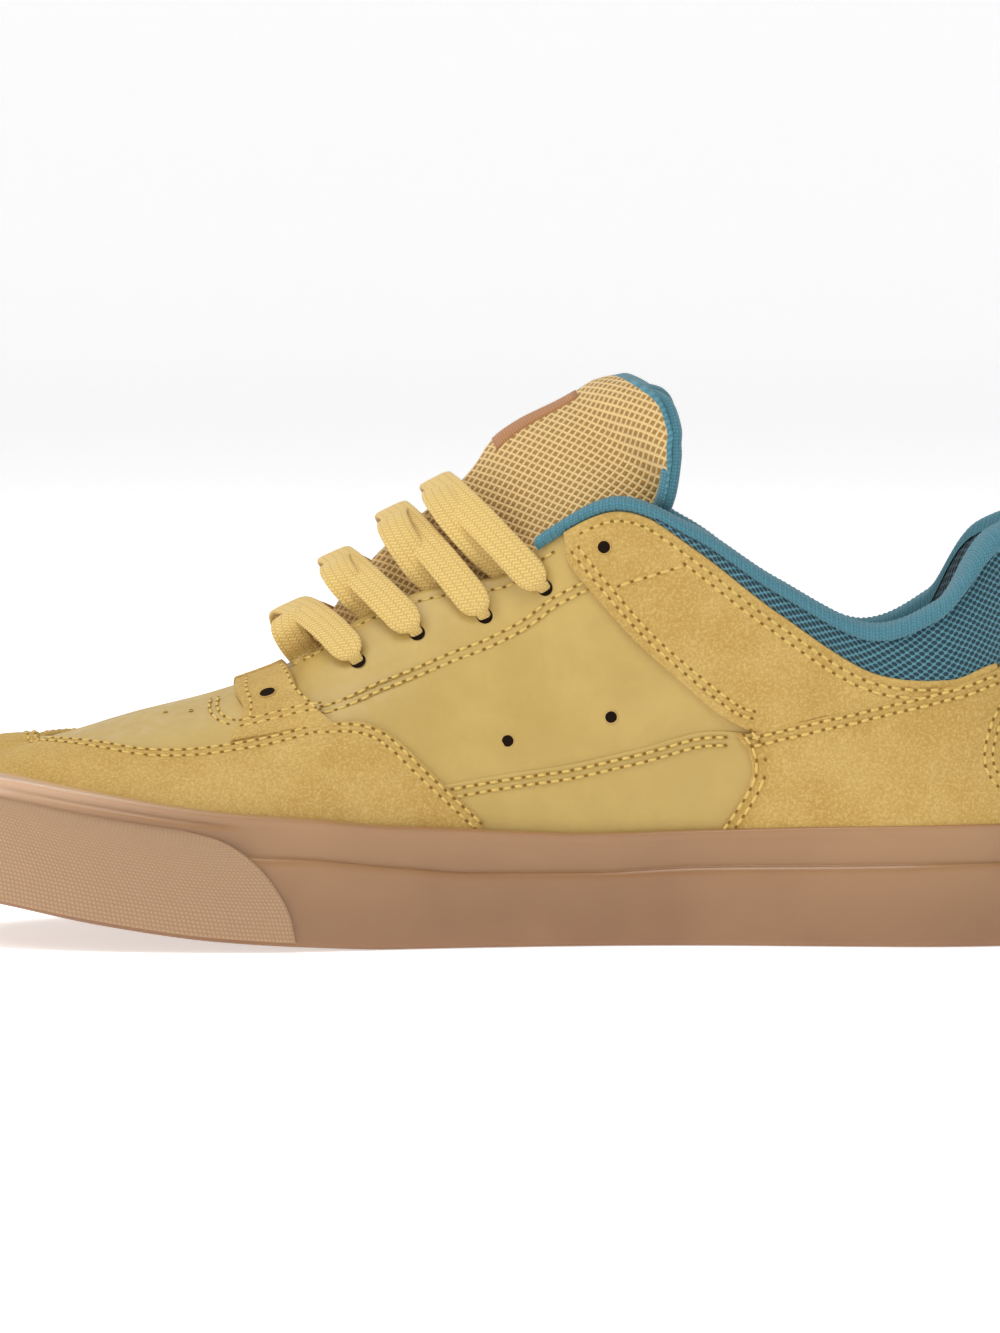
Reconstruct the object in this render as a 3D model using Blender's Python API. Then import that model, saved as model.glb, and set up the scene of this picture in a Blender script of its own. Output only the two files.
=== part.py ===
"""Skateboarding shoe for a right foot, built from one function for the lasted upper.

+X runs to the toe, +Z is up and +Y is the inner side of the foot.
The origin is on the ground under the middle of the heel.
"""
import math
from collections import namedtuple
from functools import lru_cache

import bmesh
import bpy
from mathutils import Vector

for old in list(bpy.data.objects):
    bpy.data.objects.remove(old, do_unlink=True)

# Driving sizes, in metres
LENGTH = 0.300            # sole, heel to toe
BALL_WIDTH = 0.1105       # sole, across the ball of the foot
COLLAR_HEIGHT = 0.112     # ground to the top of the collar's binding
SIDE_HEIGHT = 0.0300      # side of the sole at the heel
TOE_SPRING = 0.0145       # lift of the toe tip off the ground
HEEL_REST = 0.045         # from the heel's back to the origin
FOOTBED = 0.0100          # rubber under the insole
SIDE_WALL = 0.0045        # rubber side of the sole, at the bottom of the cup
UPPER_WALL = 0.0022       # leather, foam and lining together
OVERLAY = 0.0012          # suede laid over the upper
TAB = 0.0016              # suede lace tab
BUMPER = 0.0011           # rubber toe band
INSOLE = 0.0045           # removable footbed
TONGUE = 0.0085           # padded tongue
LABEL = 0.0006            # woven label on the tongue
BINDING = 0.0009          # knit binding on the collar's outside
ROLL_RISE = 0.0028        # height of the rolled collar over the upper's edge
ROLL = 0.0052             # thickness of the collar's pad
COLLAR_DEPTH = 0.030      # how far the collar's pad reaches down inside
LACE_WIDTH = 0.0080       # flat lace at the middle of a crossing
LACE_NECK = 0.0034        # the same lace gathered beside a hole
LACE = 0.0014             # thickness of the lace
HOLE = 0.0028             # diameter of the punched lace holes
GAP = 0.0003              # clearance between neighbours
OVERLAY_GAP = 0.0004      # clearance of an overlay that follows a curved surface
LABEL_GAP = 0.0009        # clearance of the label on the tongue's curved end
SOFT_GAP = 0.0006         # clearance where a soft piece curves under a stiff one

# One row for each section of the upper, from the toe tip to the back of the heel.
# station, top_station: shares of LENGTH from the heel. inner, outer: outline of the sole, and
# spine, top_half: middle line and half width of the opening, shares of BALL_WIDTH.
# top_height: share of COLLAR_HEIGHT. lift, drop: handles of the section's curve, shares of
# COLLAR_HEIGHT. flare, reach: the same, shares of BALL_WIDTH. rise: how far the tongue
# stands over the opening's edge, share of COLLAR_HEIGHT.
Section = namedtuple("Section", "station inner outer spine top_station top_half top_height "
                                "lift flare reach drop rise")
SECTIONS = [
    Section(1.0000, 0.072, 0.072, 0.054, 0.8933, 0.000, 0.4473, 0.214, 0.005, 0.199, 0.000, -0.027),
    Section(0.9883, 0.213, -0.072, 0.045, 0.8700, 0.000, 0.4527, 0.210, 0.005, 0.208, 0.000, -0.027),
    Section(0.9467, 0.344, -0.244, 0.027, 0.8457, 0.000, 0.4732, 0.214, 0.009, 0.235, 0.000, -0.027),
    Section(0.8733, 0.430, -0.407, 0.000, 0.8100, 0.000, 0.5018, 0.223, 0.014, 0.262, 0.000, -0.027),
    Section(0.7833, 0.462, -0.516, -0.027, 0.7600, 0.000, 0.5339, 0.241, 0.018, 0.271, 0.000, -0.027),
    Section(0.6900, 0.457, -0.543, -0.036, 0.6933, 0.000, 0.5938, 0.250, 0.018, 0.271, 0.000, -0.027),
    Section(0.6333, 0.430, -0.534, -0.041, 0.6633, 0.100, 0.6384, 0.250, 0.018, 0.181, 0.036, 0.012),
    Section(0.5733, 0.394, -0.511, -0.041, 0.6160, 0.131, 0.7277, 0.259, 0.014, 0.145, 0.080, 0.075),
    Section(0.5067, 0.356, -0.475, -0.041, 0.5600, 0.163, 0.7884, 0.268, 0.009, 0.118, 0.116, 0.143),
    Section(0.4333, 0.326, -0.434, -0.041, 0.5000, 0.190, 0.8196, 0.286, 0.009, 0.100, 0.152, 0.214),
    Section(0.3733, 0.313, -0.412, -0.036, 0.4633, 0.217, 0.9018, 0.304, 0.009, 0.081, 0.196, 0.232),
    Section(0.3167, 0.315, -0.394, -0.032, 0.4050, 0.244, 0.9759, 0.312, 0.014, 0.054, 0.241, 0.232),
    Section(0.2600, 0.328, -0.383, -0.027, 0.3433, 0.267, 0.9134, 0.295, 0.018, 0.036, 0.241, 0.000),
    Section(0.2000, 0.342, -0.380, -0.018, 0.2733, 0.281, 0.7946, 0.259, 0.023, 0.027, 0.214, 0.000),
    Section(0.1400, 0.347, -0.371, -0.009, 0.1933, 0.285, 0.6946, 0.232, 0.027, 0.018, 0.179, 0.000),
    Section(0.0800, 0.319, -0.335, -0.005, 0.1400, 0.276, 0.7455, 0.250, 0.036, 0.009, 0.214, 0.000),
    Section(0.0333, 0.240, -0.249, 0.000, 0.0900, 0.222, 0.9018, 0.268, 0.045, -0.018, 0.250, 0.000),
    Section(0.0077, 0.122, -0.127, 0.000, 0.0433, 0.122, 0.9464, 0.277, 0.050, -0.036, 0.268, 0.000),
    Section(0.0000, 0.000, 0.000, 0.000, 0.0317, 0.000, 0.9554, 0.277, 0.054, -0.045, 0.268, 0.000),
]
LAST = len(SECTIONS) - 1          # section at the back of the heel
THROAT = 5                        # section where the throat opens
STEPS = [3, 3, 3, 3] + [2] * (LAST - 4)   # mesh columns in each bay between sections
UPPER_ROWS = 8                    # mesh rows from the feather line to the top edge
EDGE_V = 0.985                    # v nearest the top edge at which the wall's direction is taken
NEAR_COLUMN = 0.15                # columns nearer than this to a piece's end are left out
STEEPEST = 0.6                    # limit on the slope of the top edge in the section's curve

# One row for each station of the sole's side. bottom: share of TOE_SPRING.
# ridge: top of the thick lower band, and side: top edge, both above the bottom, share of SIDE_HEIGHT.
SolePlace = namedtuple("SolePlace", "station bottom ridge side")
SOLE = (
    SolePlace(0.000, 0.08, 0.700, 1.000),
    SolePlace(0.045, 0.00, 0.700, 1.000),
    SolePlace(0.230, 0.00, 0.670, 0.977),
    SolePlace(0.340, 0.00, 0.653, 0.943),
    SolePlace(0.430, 0.00, 0.613, 0.920),
    SolePlace(0.530, 0.00, 0.623, 0.967),
    SolePlace(0.590, 0.00, 0.680, 1.000),
    SolePlace(0.670, 0.07, 0.730, 1.043),
    SolePlace(0.740, 0.17, 0.715, 1.050),
    SolePlace(0.835, 0.44, 0.700, 1.060),
    SolePlace(0.917, 0.75, 0.700, 1.043),
    SolePlace(1.000, 1.00, 0.700, 1.000),
)


def smooth(places, values, x):
    """Smooth value at x between rows, which never overshoots them."""
    last = len(places) - 1
    x = min(max(x, places[0]), places[-1])
    i = max(k for k in range(last) if places[k] <= x)
    width = [places[k + 1] - places[k] for k in range(last)]
    rate = [(values[k + 1] - values[k]) / width[k] for k in range(last)]

    def slope(k):
        if k in (0, last):
            return rate[min(k, last - 1)]
        if rate[k - 1] * rate[k] <= 0.0:
            return 0.0
        a, b = 2 * width[k] + width[k - 1], width[k] + 2 * width[k - 1]
        return (a + b) / (a / rate[k - 1] + b / rate[k])

    f = (x - places[i]) / width[i]
    return ((1 + 2 * f) * (1 - f) ** 2 * values[i] + f * f * (3 - 2 * f) * values[i + 1]
            + width[i] * (f * (1 - f) ** 2 * slope(i) - f * f * (1 - f) * slope(i + 1)))


@lru_cache(maxsize=None)
def table_value(rows, name, x):
    """Value of a named column at x in the table's first column."""
    return smooth([row[0] for row in rows], [getattr(row, name) for row in rows], x)


@lru_cache(maxsize=None)
def column(name, g):
    """Value of a column of SECTIONS; g runs round the shoe, 0 at the toe and LAST at the heel."""
    g = g % (2 * LAST)
    rows = [getattr(row, name) for row in SECTIONS]
    return smooth(range(LAST + 1), rows, g if g <= LAST else 2 * LAST - g)


def catmull(a, b, c, d, f):
    return 0.5 * (2 * b + (c - a) * f + (2 * a - 5 * b + 4 * c - d) * f * f
                  + (3 * b - a - 3 * c + d) * f ** 3)


def outline(g):
    """Plan point of the sole's outer edge."""
    def corner(k):
        k = k % (2 * LAST)
        row = SECTIONS[k] if k <= LAST else SECTIONS[2 * LAST - k]
        side = row.inner if k <= LAST else row.outer
        return Vector((row.station * LENGTH - HEEL_REST, side * BALL_WIDTH, 0.0))
    i = math.floor(g)
    return catmull(corner(i - 1), corner(i), corner(i + 1), corner(i + 2), g - i)


def outward(g):
    along = outline(g + 0.02) - outline(g - 0.02)
    return Vector((along.y, -along.x, 0.0)).normalized()


def station_of(point):
    return (point.x + HEEL_REST) / LENGTH


def bottom_height(point):
    return table_value(SOLE, "bottom", station_of(point)) * TOE_SPRING


def ridge_height(point):
    return bottom_height(point) + table_value(SOLE, "ridge", station_of(point)) * SIDE_HEIGHT


def side_height(point):
    return bottom_height(point) + table_value(SOLE, "side", station_of(point)) * SIDE_HEIGHT


def top_edge(g):
    """Edge of the throat and collar, or the middle line of the vamp ahead of them."""
    g = g % (2 * LAST)
    side = 1.0 if g <= LAST else -1.0
    across = column("spine", g) + side * column("top_half", g)
    return Vector((column("top_station", g) * LENGTH - HEEL_REST, across * BALL_WIDTH,
                   column("top_height", g) * COLLAR_HEIGHT))


def surface(g, v):
    """Outside of the upper: v is 0 at the feather line in the cup and 1 at the top edge."""
    out = outward(g)
    foot = outline(g) - out * (SIDE_WALL + GAP)
    foot.z = bottom_height(foot) + FOOTBED + GAP
    top = top_edge(g)
    before, after = top_edge(g - 0.05), top_edge(g + 0.05)
    run = after.x - before.x
    slope = (after.z - before.z) / run if abs(run) > 1e-6 else 0.0
    slope = min(max(slope, -STEEPEST), STEEPEST)
    reach = column("reach", g) * BALL_WIDTH
    low = foot + out * column("flare", g) * BALL_WIDTH
    low.z += column("lift", g) * COLLAR_HEIGHT
    high = top + out * reach
    high.z += out.x * slope * reach - column("drop", g) * COLLAR_HEIGHT
    w = 1.0 - v
    return w ** 3 * foot + 3 * w * w * v * low + 3 * w * v * v * high + v ** 3 * top


def skin(g, v, out=0.0):
    """Point at a distance out from the upper's outside; a negative one is inside the wall."""
    point = surface(g, v)
    if out == 0.0:
        return point
    near = min(max(v, 0.0), EDGE_V)
    along = surface(g + 0.03, near) - surface(g - 0.03, near)
    up = surface(g, near + 0.015) - surface(g, max(near - 0.015, 0.0))
    return point + along.cross(up).normalized() * out


def rise_to(g, height):
    """The v at which a section reaches a height."""
    low, high = 0.0, 0.9
    for _ in range(24):
        middle = (low + high) / 2
        if surface(g, middle).z < height:
            low = middle
        else:
            high = middle
    return low


def cup_edge(g, above=0.0):
    """The v where the upper leaves the sole's top edge, plus a height above it."""
    return rise_to(g, side_height(surface(g, 0.2)) + above)


def columns_between(start, end):
    """Mesh columns from one place round the shoe to another, the same for all pieces."""
    places = []
    for bay in range(2 * LAST):
        steps = STEPS[bay] if bay < LAST else STEPS[2 * LAST - 1 - bay]
        places += [bay + k / steps for k in range(steps)]
    inside = [g + turn for turn in (-2 * LAST, 0, 2 * LAST) for g in places]
    return [start] + [g for g in sorted(inside) if start + NEAR_COLUMN < g < end - NEAR_COLUMN] + [end]


AROUND = columns_between(0.0, 2.0 * LAST)[:-1]


def material(name, colour, roughness):
    finish = bpy.data.materials.new(name)
    finish.use_nodes = True
    shader = finish.node_tree.nodes["Principled BSDF"]
    shader.inputs["Base Color"].default_value = (*colour, 1.0)
    shader.inputs["Roughness"].default_value = roughness
    shader.inputs["Metallic"].default_value = 0.0
    return finish


def finish_mesh(name, bm, look, sharp=40.0):
    bmesh.ops.recalc_face_normals(bm, faces=bm.faces)
    mesh = bpy.data.meshes.new(name)
    bm.to_mesh(mesh)
    bm.free()
    mesh.shade_smooth()
    mesh.set_sharp_from_angle(angle=math.radians(sharp))
    mesh.materials.append(look)
    piece = bpy.data.objects.new(name, mesh)
    bpy.context.scene.collection.objects.link(piece)
    return piece


def thicken(name, outer, inner, look, closed=False):
    """Solid between two grids of points; points that coincide on the outside are one point."""
    bm = bmesh.new()
    merged, keys = {}, []
    for row_out, row_in in zip(outer, inner):
        line = []
        for a, b in zip(row_out, row_in):
            key = (round(a.x * 1e6), round(a.y * 1e6), round(a.z * 1e6))
            merged.setdefault(key, []).append((a, b))
            line.append(key)
        keys.append(line)
    top, under = {}, {}
    for key, pairs in merged.items():
        top[key] = bm.verts.new(sum((a for a, b in pairs), Vector()) / len(pairs))
        under[key] = bm.verts.new(sum((b for a, b in pairs), Vector()) / len(pairs))
    count = len(keys)
    for i in range(count if closed else count - 1):
        for j in range(len(keys[0]) - 1):
            ring = [keys[i][j], keys[(i + 1) % count][j], keys[(i + 1) % count][j + 1], keys[i][j + 1]]
            ring = list(dict.fromkeys(ring))
            if len(ring) > 2:
                bm.faces.new([top[key] for key in ring])
    edges = [edge for edge in bm.edges if len(edge.link_faces) == 1]
    twin = {top[key]: under[key] for key in merged}
    for face in list(bm.faces):
        bm.faces.new([twin[vert] for vert in reversed(face.verts)])
    for edge in edges:
        a, b = edge.verts
        bm.faces.new([a, b, twin[b], twin[a]])
    return finish_mesh(name, bm, look)


def loft(name, rings, look, shift=0, sharp=40.0):
    """Solid through closed rings of equal count; its ends are closed across, each point to its
    partner on the ring's other side, which with a shift of 1 starts at the last point."""
    bm = bmesh.new()
    lines = [[bm.verts.new(point) for point in ring] for ring in rings]
    count = len(lines[0])
    for a, b in zip(lines, lines[1:]):
        for i in range(count):
            bm.faces.new([a[i], a[(i + 1) % count], b[(i + 1) % count], b[i]])
    for line in (lines[0], lines[-1]):
        for i in range(count // 2 - shift):
            far, near = line[(-i - 1 - shift) % count], line[(-i - shift) % count]
            ring = list(dict.fromkeys([line[i], line[i + 1], far, near]))
            if len(ring) > 2:
                bm.faces.new(ring)
    return finish_mesh(name, bm, look, sharp)


def patch(name, start, end, low, high, gap, thickness, look, rows=5):
    """Overlay on the upper: start and end give g for a share of height, low and high give v."""
    outer, inner = [], []
    spots = columns_between(start(0.0), end(0.0))
    shares = [(g - spots[0]) / (spots[-1] - spots[0]) for g in spots]
    for share in shares:
        line_out, line_in = [], []
        for k in range(rows + 1):
            q = k / rows
            g = start(q) + (end(q) - start(q)) * share
            v = low(g) + (high(g) - low(g)) * q
            line_out.append(skin(g, v, gap + thickness))
            line_in.append(skin(g, v, gap))
        outer.append(line_out)
        inner.append(line_in)
    return thicken(name, outer, inner, look)


LEATHER = material("leather", (0.56, 0.40, 0.14), 0.45)
SUEDE = material("suede", (0.60, 0.42, 0.13), 0.85)
GUM = material("gum_rubber", (0.42, 0.25, 0.12), 0.50)
BAND = material("bumper_rubber", (0.46, 0.30, 0.17), 0.65)
KNIT = material("teal_knit", (0.10, 0.27, 0.33), 0.90)
MESH = material("tan_mesh", (0.62, 0.42, 0.20), 0.90)
WEBBING = material("lace", (0.62, 0.45, 0.18), 0.80)
LINING = material("lining", (0.16, 0.24, 0.27), 0.95)
PATCH = material("plain_label", (0.30, 0.10, 0.06), 0.80)

# Edges of the overlays on the upper. section runs from toe to heel, share is v.
EdgePoint = namedtuple("EdgePoint", "station share")
TOE_EDGE = tuple(EdgePoint(*row) for row in (
    (0.0, 0.992), (0.4, 0.960), (0.9, 0.905), (1.6, 0.810), (2.9, 0.635), (3.7, 0.545), (4.2, 0.532),
    (5.1, 0.542), (5.9, 0.564), (6.4, 0.551), (6.7, 0.520), (7.0, 0.465), (7.5, 0.335), (8.1, 0.195)))
HEEL_EDGE = tuple(EdgePoint(*row) for row in (
    (10.9, 0.430), (11.7, 0.445), (12.2, 0.465), (13.0, 0.580), (13.8, 0.690), (14.7, 0.745),
    (15.3, 0.729), (15.7, 0.690), (16.5, 0.665), (18.0, 0.660)))
EYESTAY_LOW = tuple(EdgePoint(*row) for row in (
    (10.1, 0.960), (10.5, 0.755), (10.8, 0.625), (11.2, 0.530), (11.7, 0.460), (12.2, 0.480),
    (13.0, 0.590), (13.8, 0.700), (14.7, 0.756)))
EYESTAY_HIGH = tuple(EdgePoint(*row) for row in (
    (10.1, 0.985), (11.4, 0.985), (12.1, 0.955), (13.0, 0.914), (13.5, 0.878), (13.9, 0.843),
    (14.3, 0.810), (14.7, 0.780)))
# Front edge of the heel overlay, from the sole up: share of its height, and section.
HEEL_FRONT = tuple(EdgePoint(*row) for row in (
    (0.00, 10.95), (0.22, 11.27), (0.49, 11.63), (0.65, 11.77), (0.83, 11.82), (1.00, 11.71)))
# Rear end of the toe bumper, from its lower edge up: height and station of each row,
# shares of SIDE_HEIGHT and LENGTH.
BumperRow = namedtuple("BumperRow", "height station")
BUMPER_ROWS = [BumperRow(0.04, 0.673), BumperRow(0.27, 0.678), BumperRow(0.48, 0.689),
               BumperRow(0.65, 0.703), BumperRow(0.78, 0.720), BumperRow(0.86, 0.738),
               BumperRow(0.905, 0.767)]
# Punched lace holes of one side, from the tab to the top: section and v.
Hole = namedtuple("Hole", "section v")
HOLES = [Hole(4.87, 0.786), Hole(6.63, 0.790), Hole(7.58, 0.825), Hole(8.55, 0.860),
         Hole(9.71, 0.875), Hole(10.76, 0.886)]


def edge(rows, g):
    """v of an overlay's edge, the same on both sides of the shoe."""
    g = g % (2 * LAST)
    return table_value(rows, "share", g if g <= LAST else 2 * LAST - g)


def place_at(station):
    """Section at which the inner side of the outline has a station."""
    low, high = 0.0, float(LAST)
    for _ in range(30):
        middle = (low + high) / 2
        if station_of(outline(middle)) > station:
            low = middle
        else:
            high = middle
    return low


LIP_INSET = 0.0010        # how far the lip stands back from the outline
BAND_INSET = 0.0016       # how far the upper band stands back
LIP_HEIGHT = 0.0024       # height of the rolled lip
EDGE_ROUND = 0.0020       # rounding under the sole's edge and on the lower band
RIDGE_ROUND = 0.0008      # soft top edge of the lower band
BAND_END = 0.70           # station ahead of which the upper band fills out under the bumper
BAND_FADE = 0.06          # share of LENGTH over which it does


def side_ring(inset, height, fade=False):
    """Ring on the outside of the sole; a faded one comes out to the outline under the bumper."""
    ring = []
    for g in AROUND:
        point = outline(g)
        part = 1.0
        if fade:
            f = min(max((station_of(point) - BAND_END) / BAND_FADE, 0.0), 1.0)
            part = 1.0 - f * f * (3 - 2 * f)
        place = point - outward(g) * (inset * part)
        place.z = height(point)
        ring.append(place)
    return ring


def build_sole():
    floor = [skin(g, 0.0, GAP) for g in AROUND]
    for point in floor:
        point.z -= GAP
    rings = [floor]
    for share in (0.25, 0.5, 0.7, 0.85, 1.0):
        rings.append([skin(g, cup_edge(g) * share, OVERLAY_GAP) for g in AROUND])
    crown = [a.lerp(b, 0.5) for a, b in zip(rings[-1], side_ring(LIP_INSET, side_height))]
    for point in crown:
        point.z += GAP
    rings.append(crown)
    rings.append(side_ring(LIP_INSET, lambda p: side_height(p) - 0.3 * LIP_HEIGHT))
    rings.append(side_ring(BAND_INSET, lambda p: side_height(p) - LIP_HEIGHT, True))
    rings.append(side_ring(BAND_INSET, lambda p: ridge_height(p) + 0.5 * RIDGE_ROUND, True))
    rings.append(side_ring(RIDGE_ROUND, lambda p: ridge_height(p) - 0.3 * RIDGE_ROUND, True))
    rings.append(side_ring(0.0, lambda p: ridge_height(p) - 2 * RIDGE_ROUND))
    rings.append(side_ring(0.0, lambda p: bottom_height(p) + EDGE_ROUND))
    rings.append(side_ring(EDGE_ROUND, bottom_height))
    loft("sole", rings, GUM)


def build_bumper():
    outer, inner = [], []
    ends = [place_at(row.station) for row in BUMPER_ROWS]
    spots = columns_between(-ends[0], ends[0])
    for g in spots:
        share = g / ends[0]
        line_out, line_in = [], []
        for row, end in zip(BUMPER_ROWS, ends):
            at = end * share
            for line, stand in ((line_out, OVERLAY_GAP + BUMPER), (line_in, OVERLAY_GAP)):
                point = outline(at) + outward(at) * stand
                point.z = bottom_height(outline(at)) + row.height * SIDE_HEIGHT
                line.append(point)
        outer.append(line_out)
        inner.append(line_in)
    thicken("toe_bumper", outer, inner, BAND)


def build_upper():
    shares = [k / UPPER_ROWS for k in range(UPPER_ROWS + 1)]
    outer = [[skin(g, v) for v in shares] for g in AROUND]
    inner = [[skin(g, v, -UPPER_WALL) for v in shares] for g in AROUND]
    return thicken("upper", outer, inner, LEATHER, closed=True)


def build_insole():
    rings = []
    for rise, inset in ((0.0, GAP), (0.7, SOFT_GAP), (1.0, 3 * SOFT_GAP)):
        ring = []
        for g in AROUND:
            foot = surface(g, 0.0)
            point = skin(g, rise_to(g, foot.z + rise * INSOLE), -UPPER_WALL - inset)
            point.z = foot.z + rise * INSOLE
            ring.append(point)
        rings.append(ring)
    loft("insole", rings, LINING)


def mirrored(place):
    """The same place on the outer side."""
    return lambda q: 2 * LAST - place(q)


def heel_front(q):
    """Section of the heel overlay's front edge at a share of its height."""
    return table_value(HEEL_FRONT, "share", q)


TAB_ENDS = (4.6, 5.8)     # sections at the lower edge of the lace tab
TAB_TAPER = 0.6           # how much shorter its upper edge is
TAB_EDGES = (0.600, 0.950)    # v of its lower and upper edges
EYESTAY_END = 14.6        # section where the eyestay overlay runs out under the collar


def build_overlays():
    reach = TOE_EDGE[-1].station - NEAR_COLUMN
    patch("toe_overlay", lambda q: -reach, lambda q: reach, lambda g: cup_edge(g, 2 * GAP),
          lambda g: edge(TOE_EDGE, g), OVERLAY_GAP, OVERLAY, SUEDE, rows=5)
    patch("heel_overlay", heel_front, mirrored(heel_front), lambda g: cup_edge(g, 2 * GAP),
          lambda g: edge(HEEL_EDGE, g), OVERLAY_GAP, OVERLAY, SUEDE, rows=5)
    for side, turn in (("inner", lambda place: place), ("outer", mirrored)):
        ends = [turn(lambda q: EYESTAY_LOW[0].station + NEAR_COLUMN), turn(lambda q: EYESTAY_END)]
        tabs = [turn(lambda q: TAB_ENDS[0]), turn(lambda q: TAB_ENDS[1] - TAB_TAPER * q)]
        if side == "outer":
            ends.reverse()
            tabs.reverse()
        patch("eyestay_overlay_" + side, *ends, lambda g: edge(EYESTAY_LOW, g),
              lambda g: edge(EYESTAY_HIGH, g), OVERLAY_GAP, OVERLAY, SUEDE, rows=4)
        patch("lace_tab_" + side, *tabs, lambda g: TAB_EDGES[0], lambda g: TAB_EDGES[1],
              SOFT_GAP, TAB, SUEDE, rows=5)


# Collar, from its front ends to the heel: section, and shares of ROLL and COLLAR_DEPTH.
# lip: how far the binding reaches down outside. pad: thickness of the pad inside.
CollarRow = namedtuple("CollarRow", "section lip pad depth")
COLLAR = (
    CollarRow(10.2, 0.02, 0.16, 0.07), CollarRow(11.4, 0.02, 0.18, 0.08),
    CollarRow(12.2, 0.25, 0.60, 0.50), CollarRow(13.0, 0.45, 0.95, 0.90),
    CollarRow(14.0, 0.80, 1.15, 1.00), CollarRow(15.0, 1.00, 1.25, 1.00),
    CollarRow(16.5, 1.10, 1.20, 1.00), CollarRow(18.0, 1.10, 1.10, 1.00))


def build_collar():
    rings = []
    start = COLLAR[0].section
    for g in columns_between(start, 2 * LAST - start):
        near = g if g <= LAST else 2 * LAST - g
        lip = table_value(COLLAR, "lip", near) * ROLL
        pad = table_value(COLLAR, "pad", near) * ROLL
        depth = table_value(COLLAR, "depth", near) * COLLAR_DEPTH
        reach = (surface(g, 1.0) - surface(g, 0.7)).length / 0.3
        up = (surface(g, 1.0) - surface(g, 0.97)).normalized()

        def place(out, down):
            if down > 0.0:
                return skin(g, 1.0 - down / reach, out)
            return skin(g, 1.0, out) - up * down

        wall = -UPPER_WALL - GAP
        outside = [(GAP + BINDING, lip), (GAP + 1.1 * BINDING, 0.3 * lip - 0.3 * ROLL_RISE),
                   (GAP, -0.85 * ROLL_RISE), (-0.5 * UPPER_WALL, -ROLL_RISE),
                   (wall - 0.8 * pad, -0.5 * ROLL_RISE), (wall - pad, 0.3 * depth),
                   (wall - 0.85 * pad, 0.7 * depth), (wall - 0.25 * pad, depth)]
        inside = [(wall, 0.95 * depth), (wall, 0.7 * depth), (wall, 0.45 * depth), (wall, 0.2 * depth),
                  (wall, -GAP), (-0.5 * UPPER_WALL, -GAP), (GAP, -GAP), (GAP, lip)]
        rings.append([place(*spot) for spot in outside + inside])
    loft("collar", rings, KNIT, shift=1)


# Free end of the tongue above the collar's front: middle and edge, shares of LENGTH,
# COLLAR_HEIGHT and BALL_WIDTH. roundness: 1 where the middle stands up narrow, less where broad.
# bulge: how far the end swells up and back between them, share of COLLAR_HEIGHT.
FreeRow = namedtuple("FreeRow", "station height edge_station edge_height half roundness bulge")
TONGUE_FREE = (FreeRow(0.437, 1.205, 0.378, 0.995, 0.170, 0.7, 0.000),
               FreeRow(0.421, 1.231, 0.366, 1.067, 0.230, 0.6, 0.014),
               FreeRow(0.400, 1.243, 0.361, 1.150, 0.240, 0.6, 0.030))
TONGUE_START = 4.6        # section under the vamp where the tongue is sewn in
TONGUE_END = 10.8         # last section held between the two sides
TONGUE_HEM = 0.93         # v at which its flaps start down inside each side
TONGUE_FLAP = 0.13        # how far down they reach, in v
TONGUE_BELL = 0.6         # share of its half width that rises between the two sides
TONGUE_BROAD = 0.4        # how much flatter its top is at the end than at the toe
TONGUE_TURN = 0.008       # how far the free end's sides turn down
TONGUE_LEAN = Vector((0.44, 0.0, 0.90)).normalized()   # direction in which the instep faces
TONGUE_SPOTS = 10         # steps across the tongue


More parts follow.
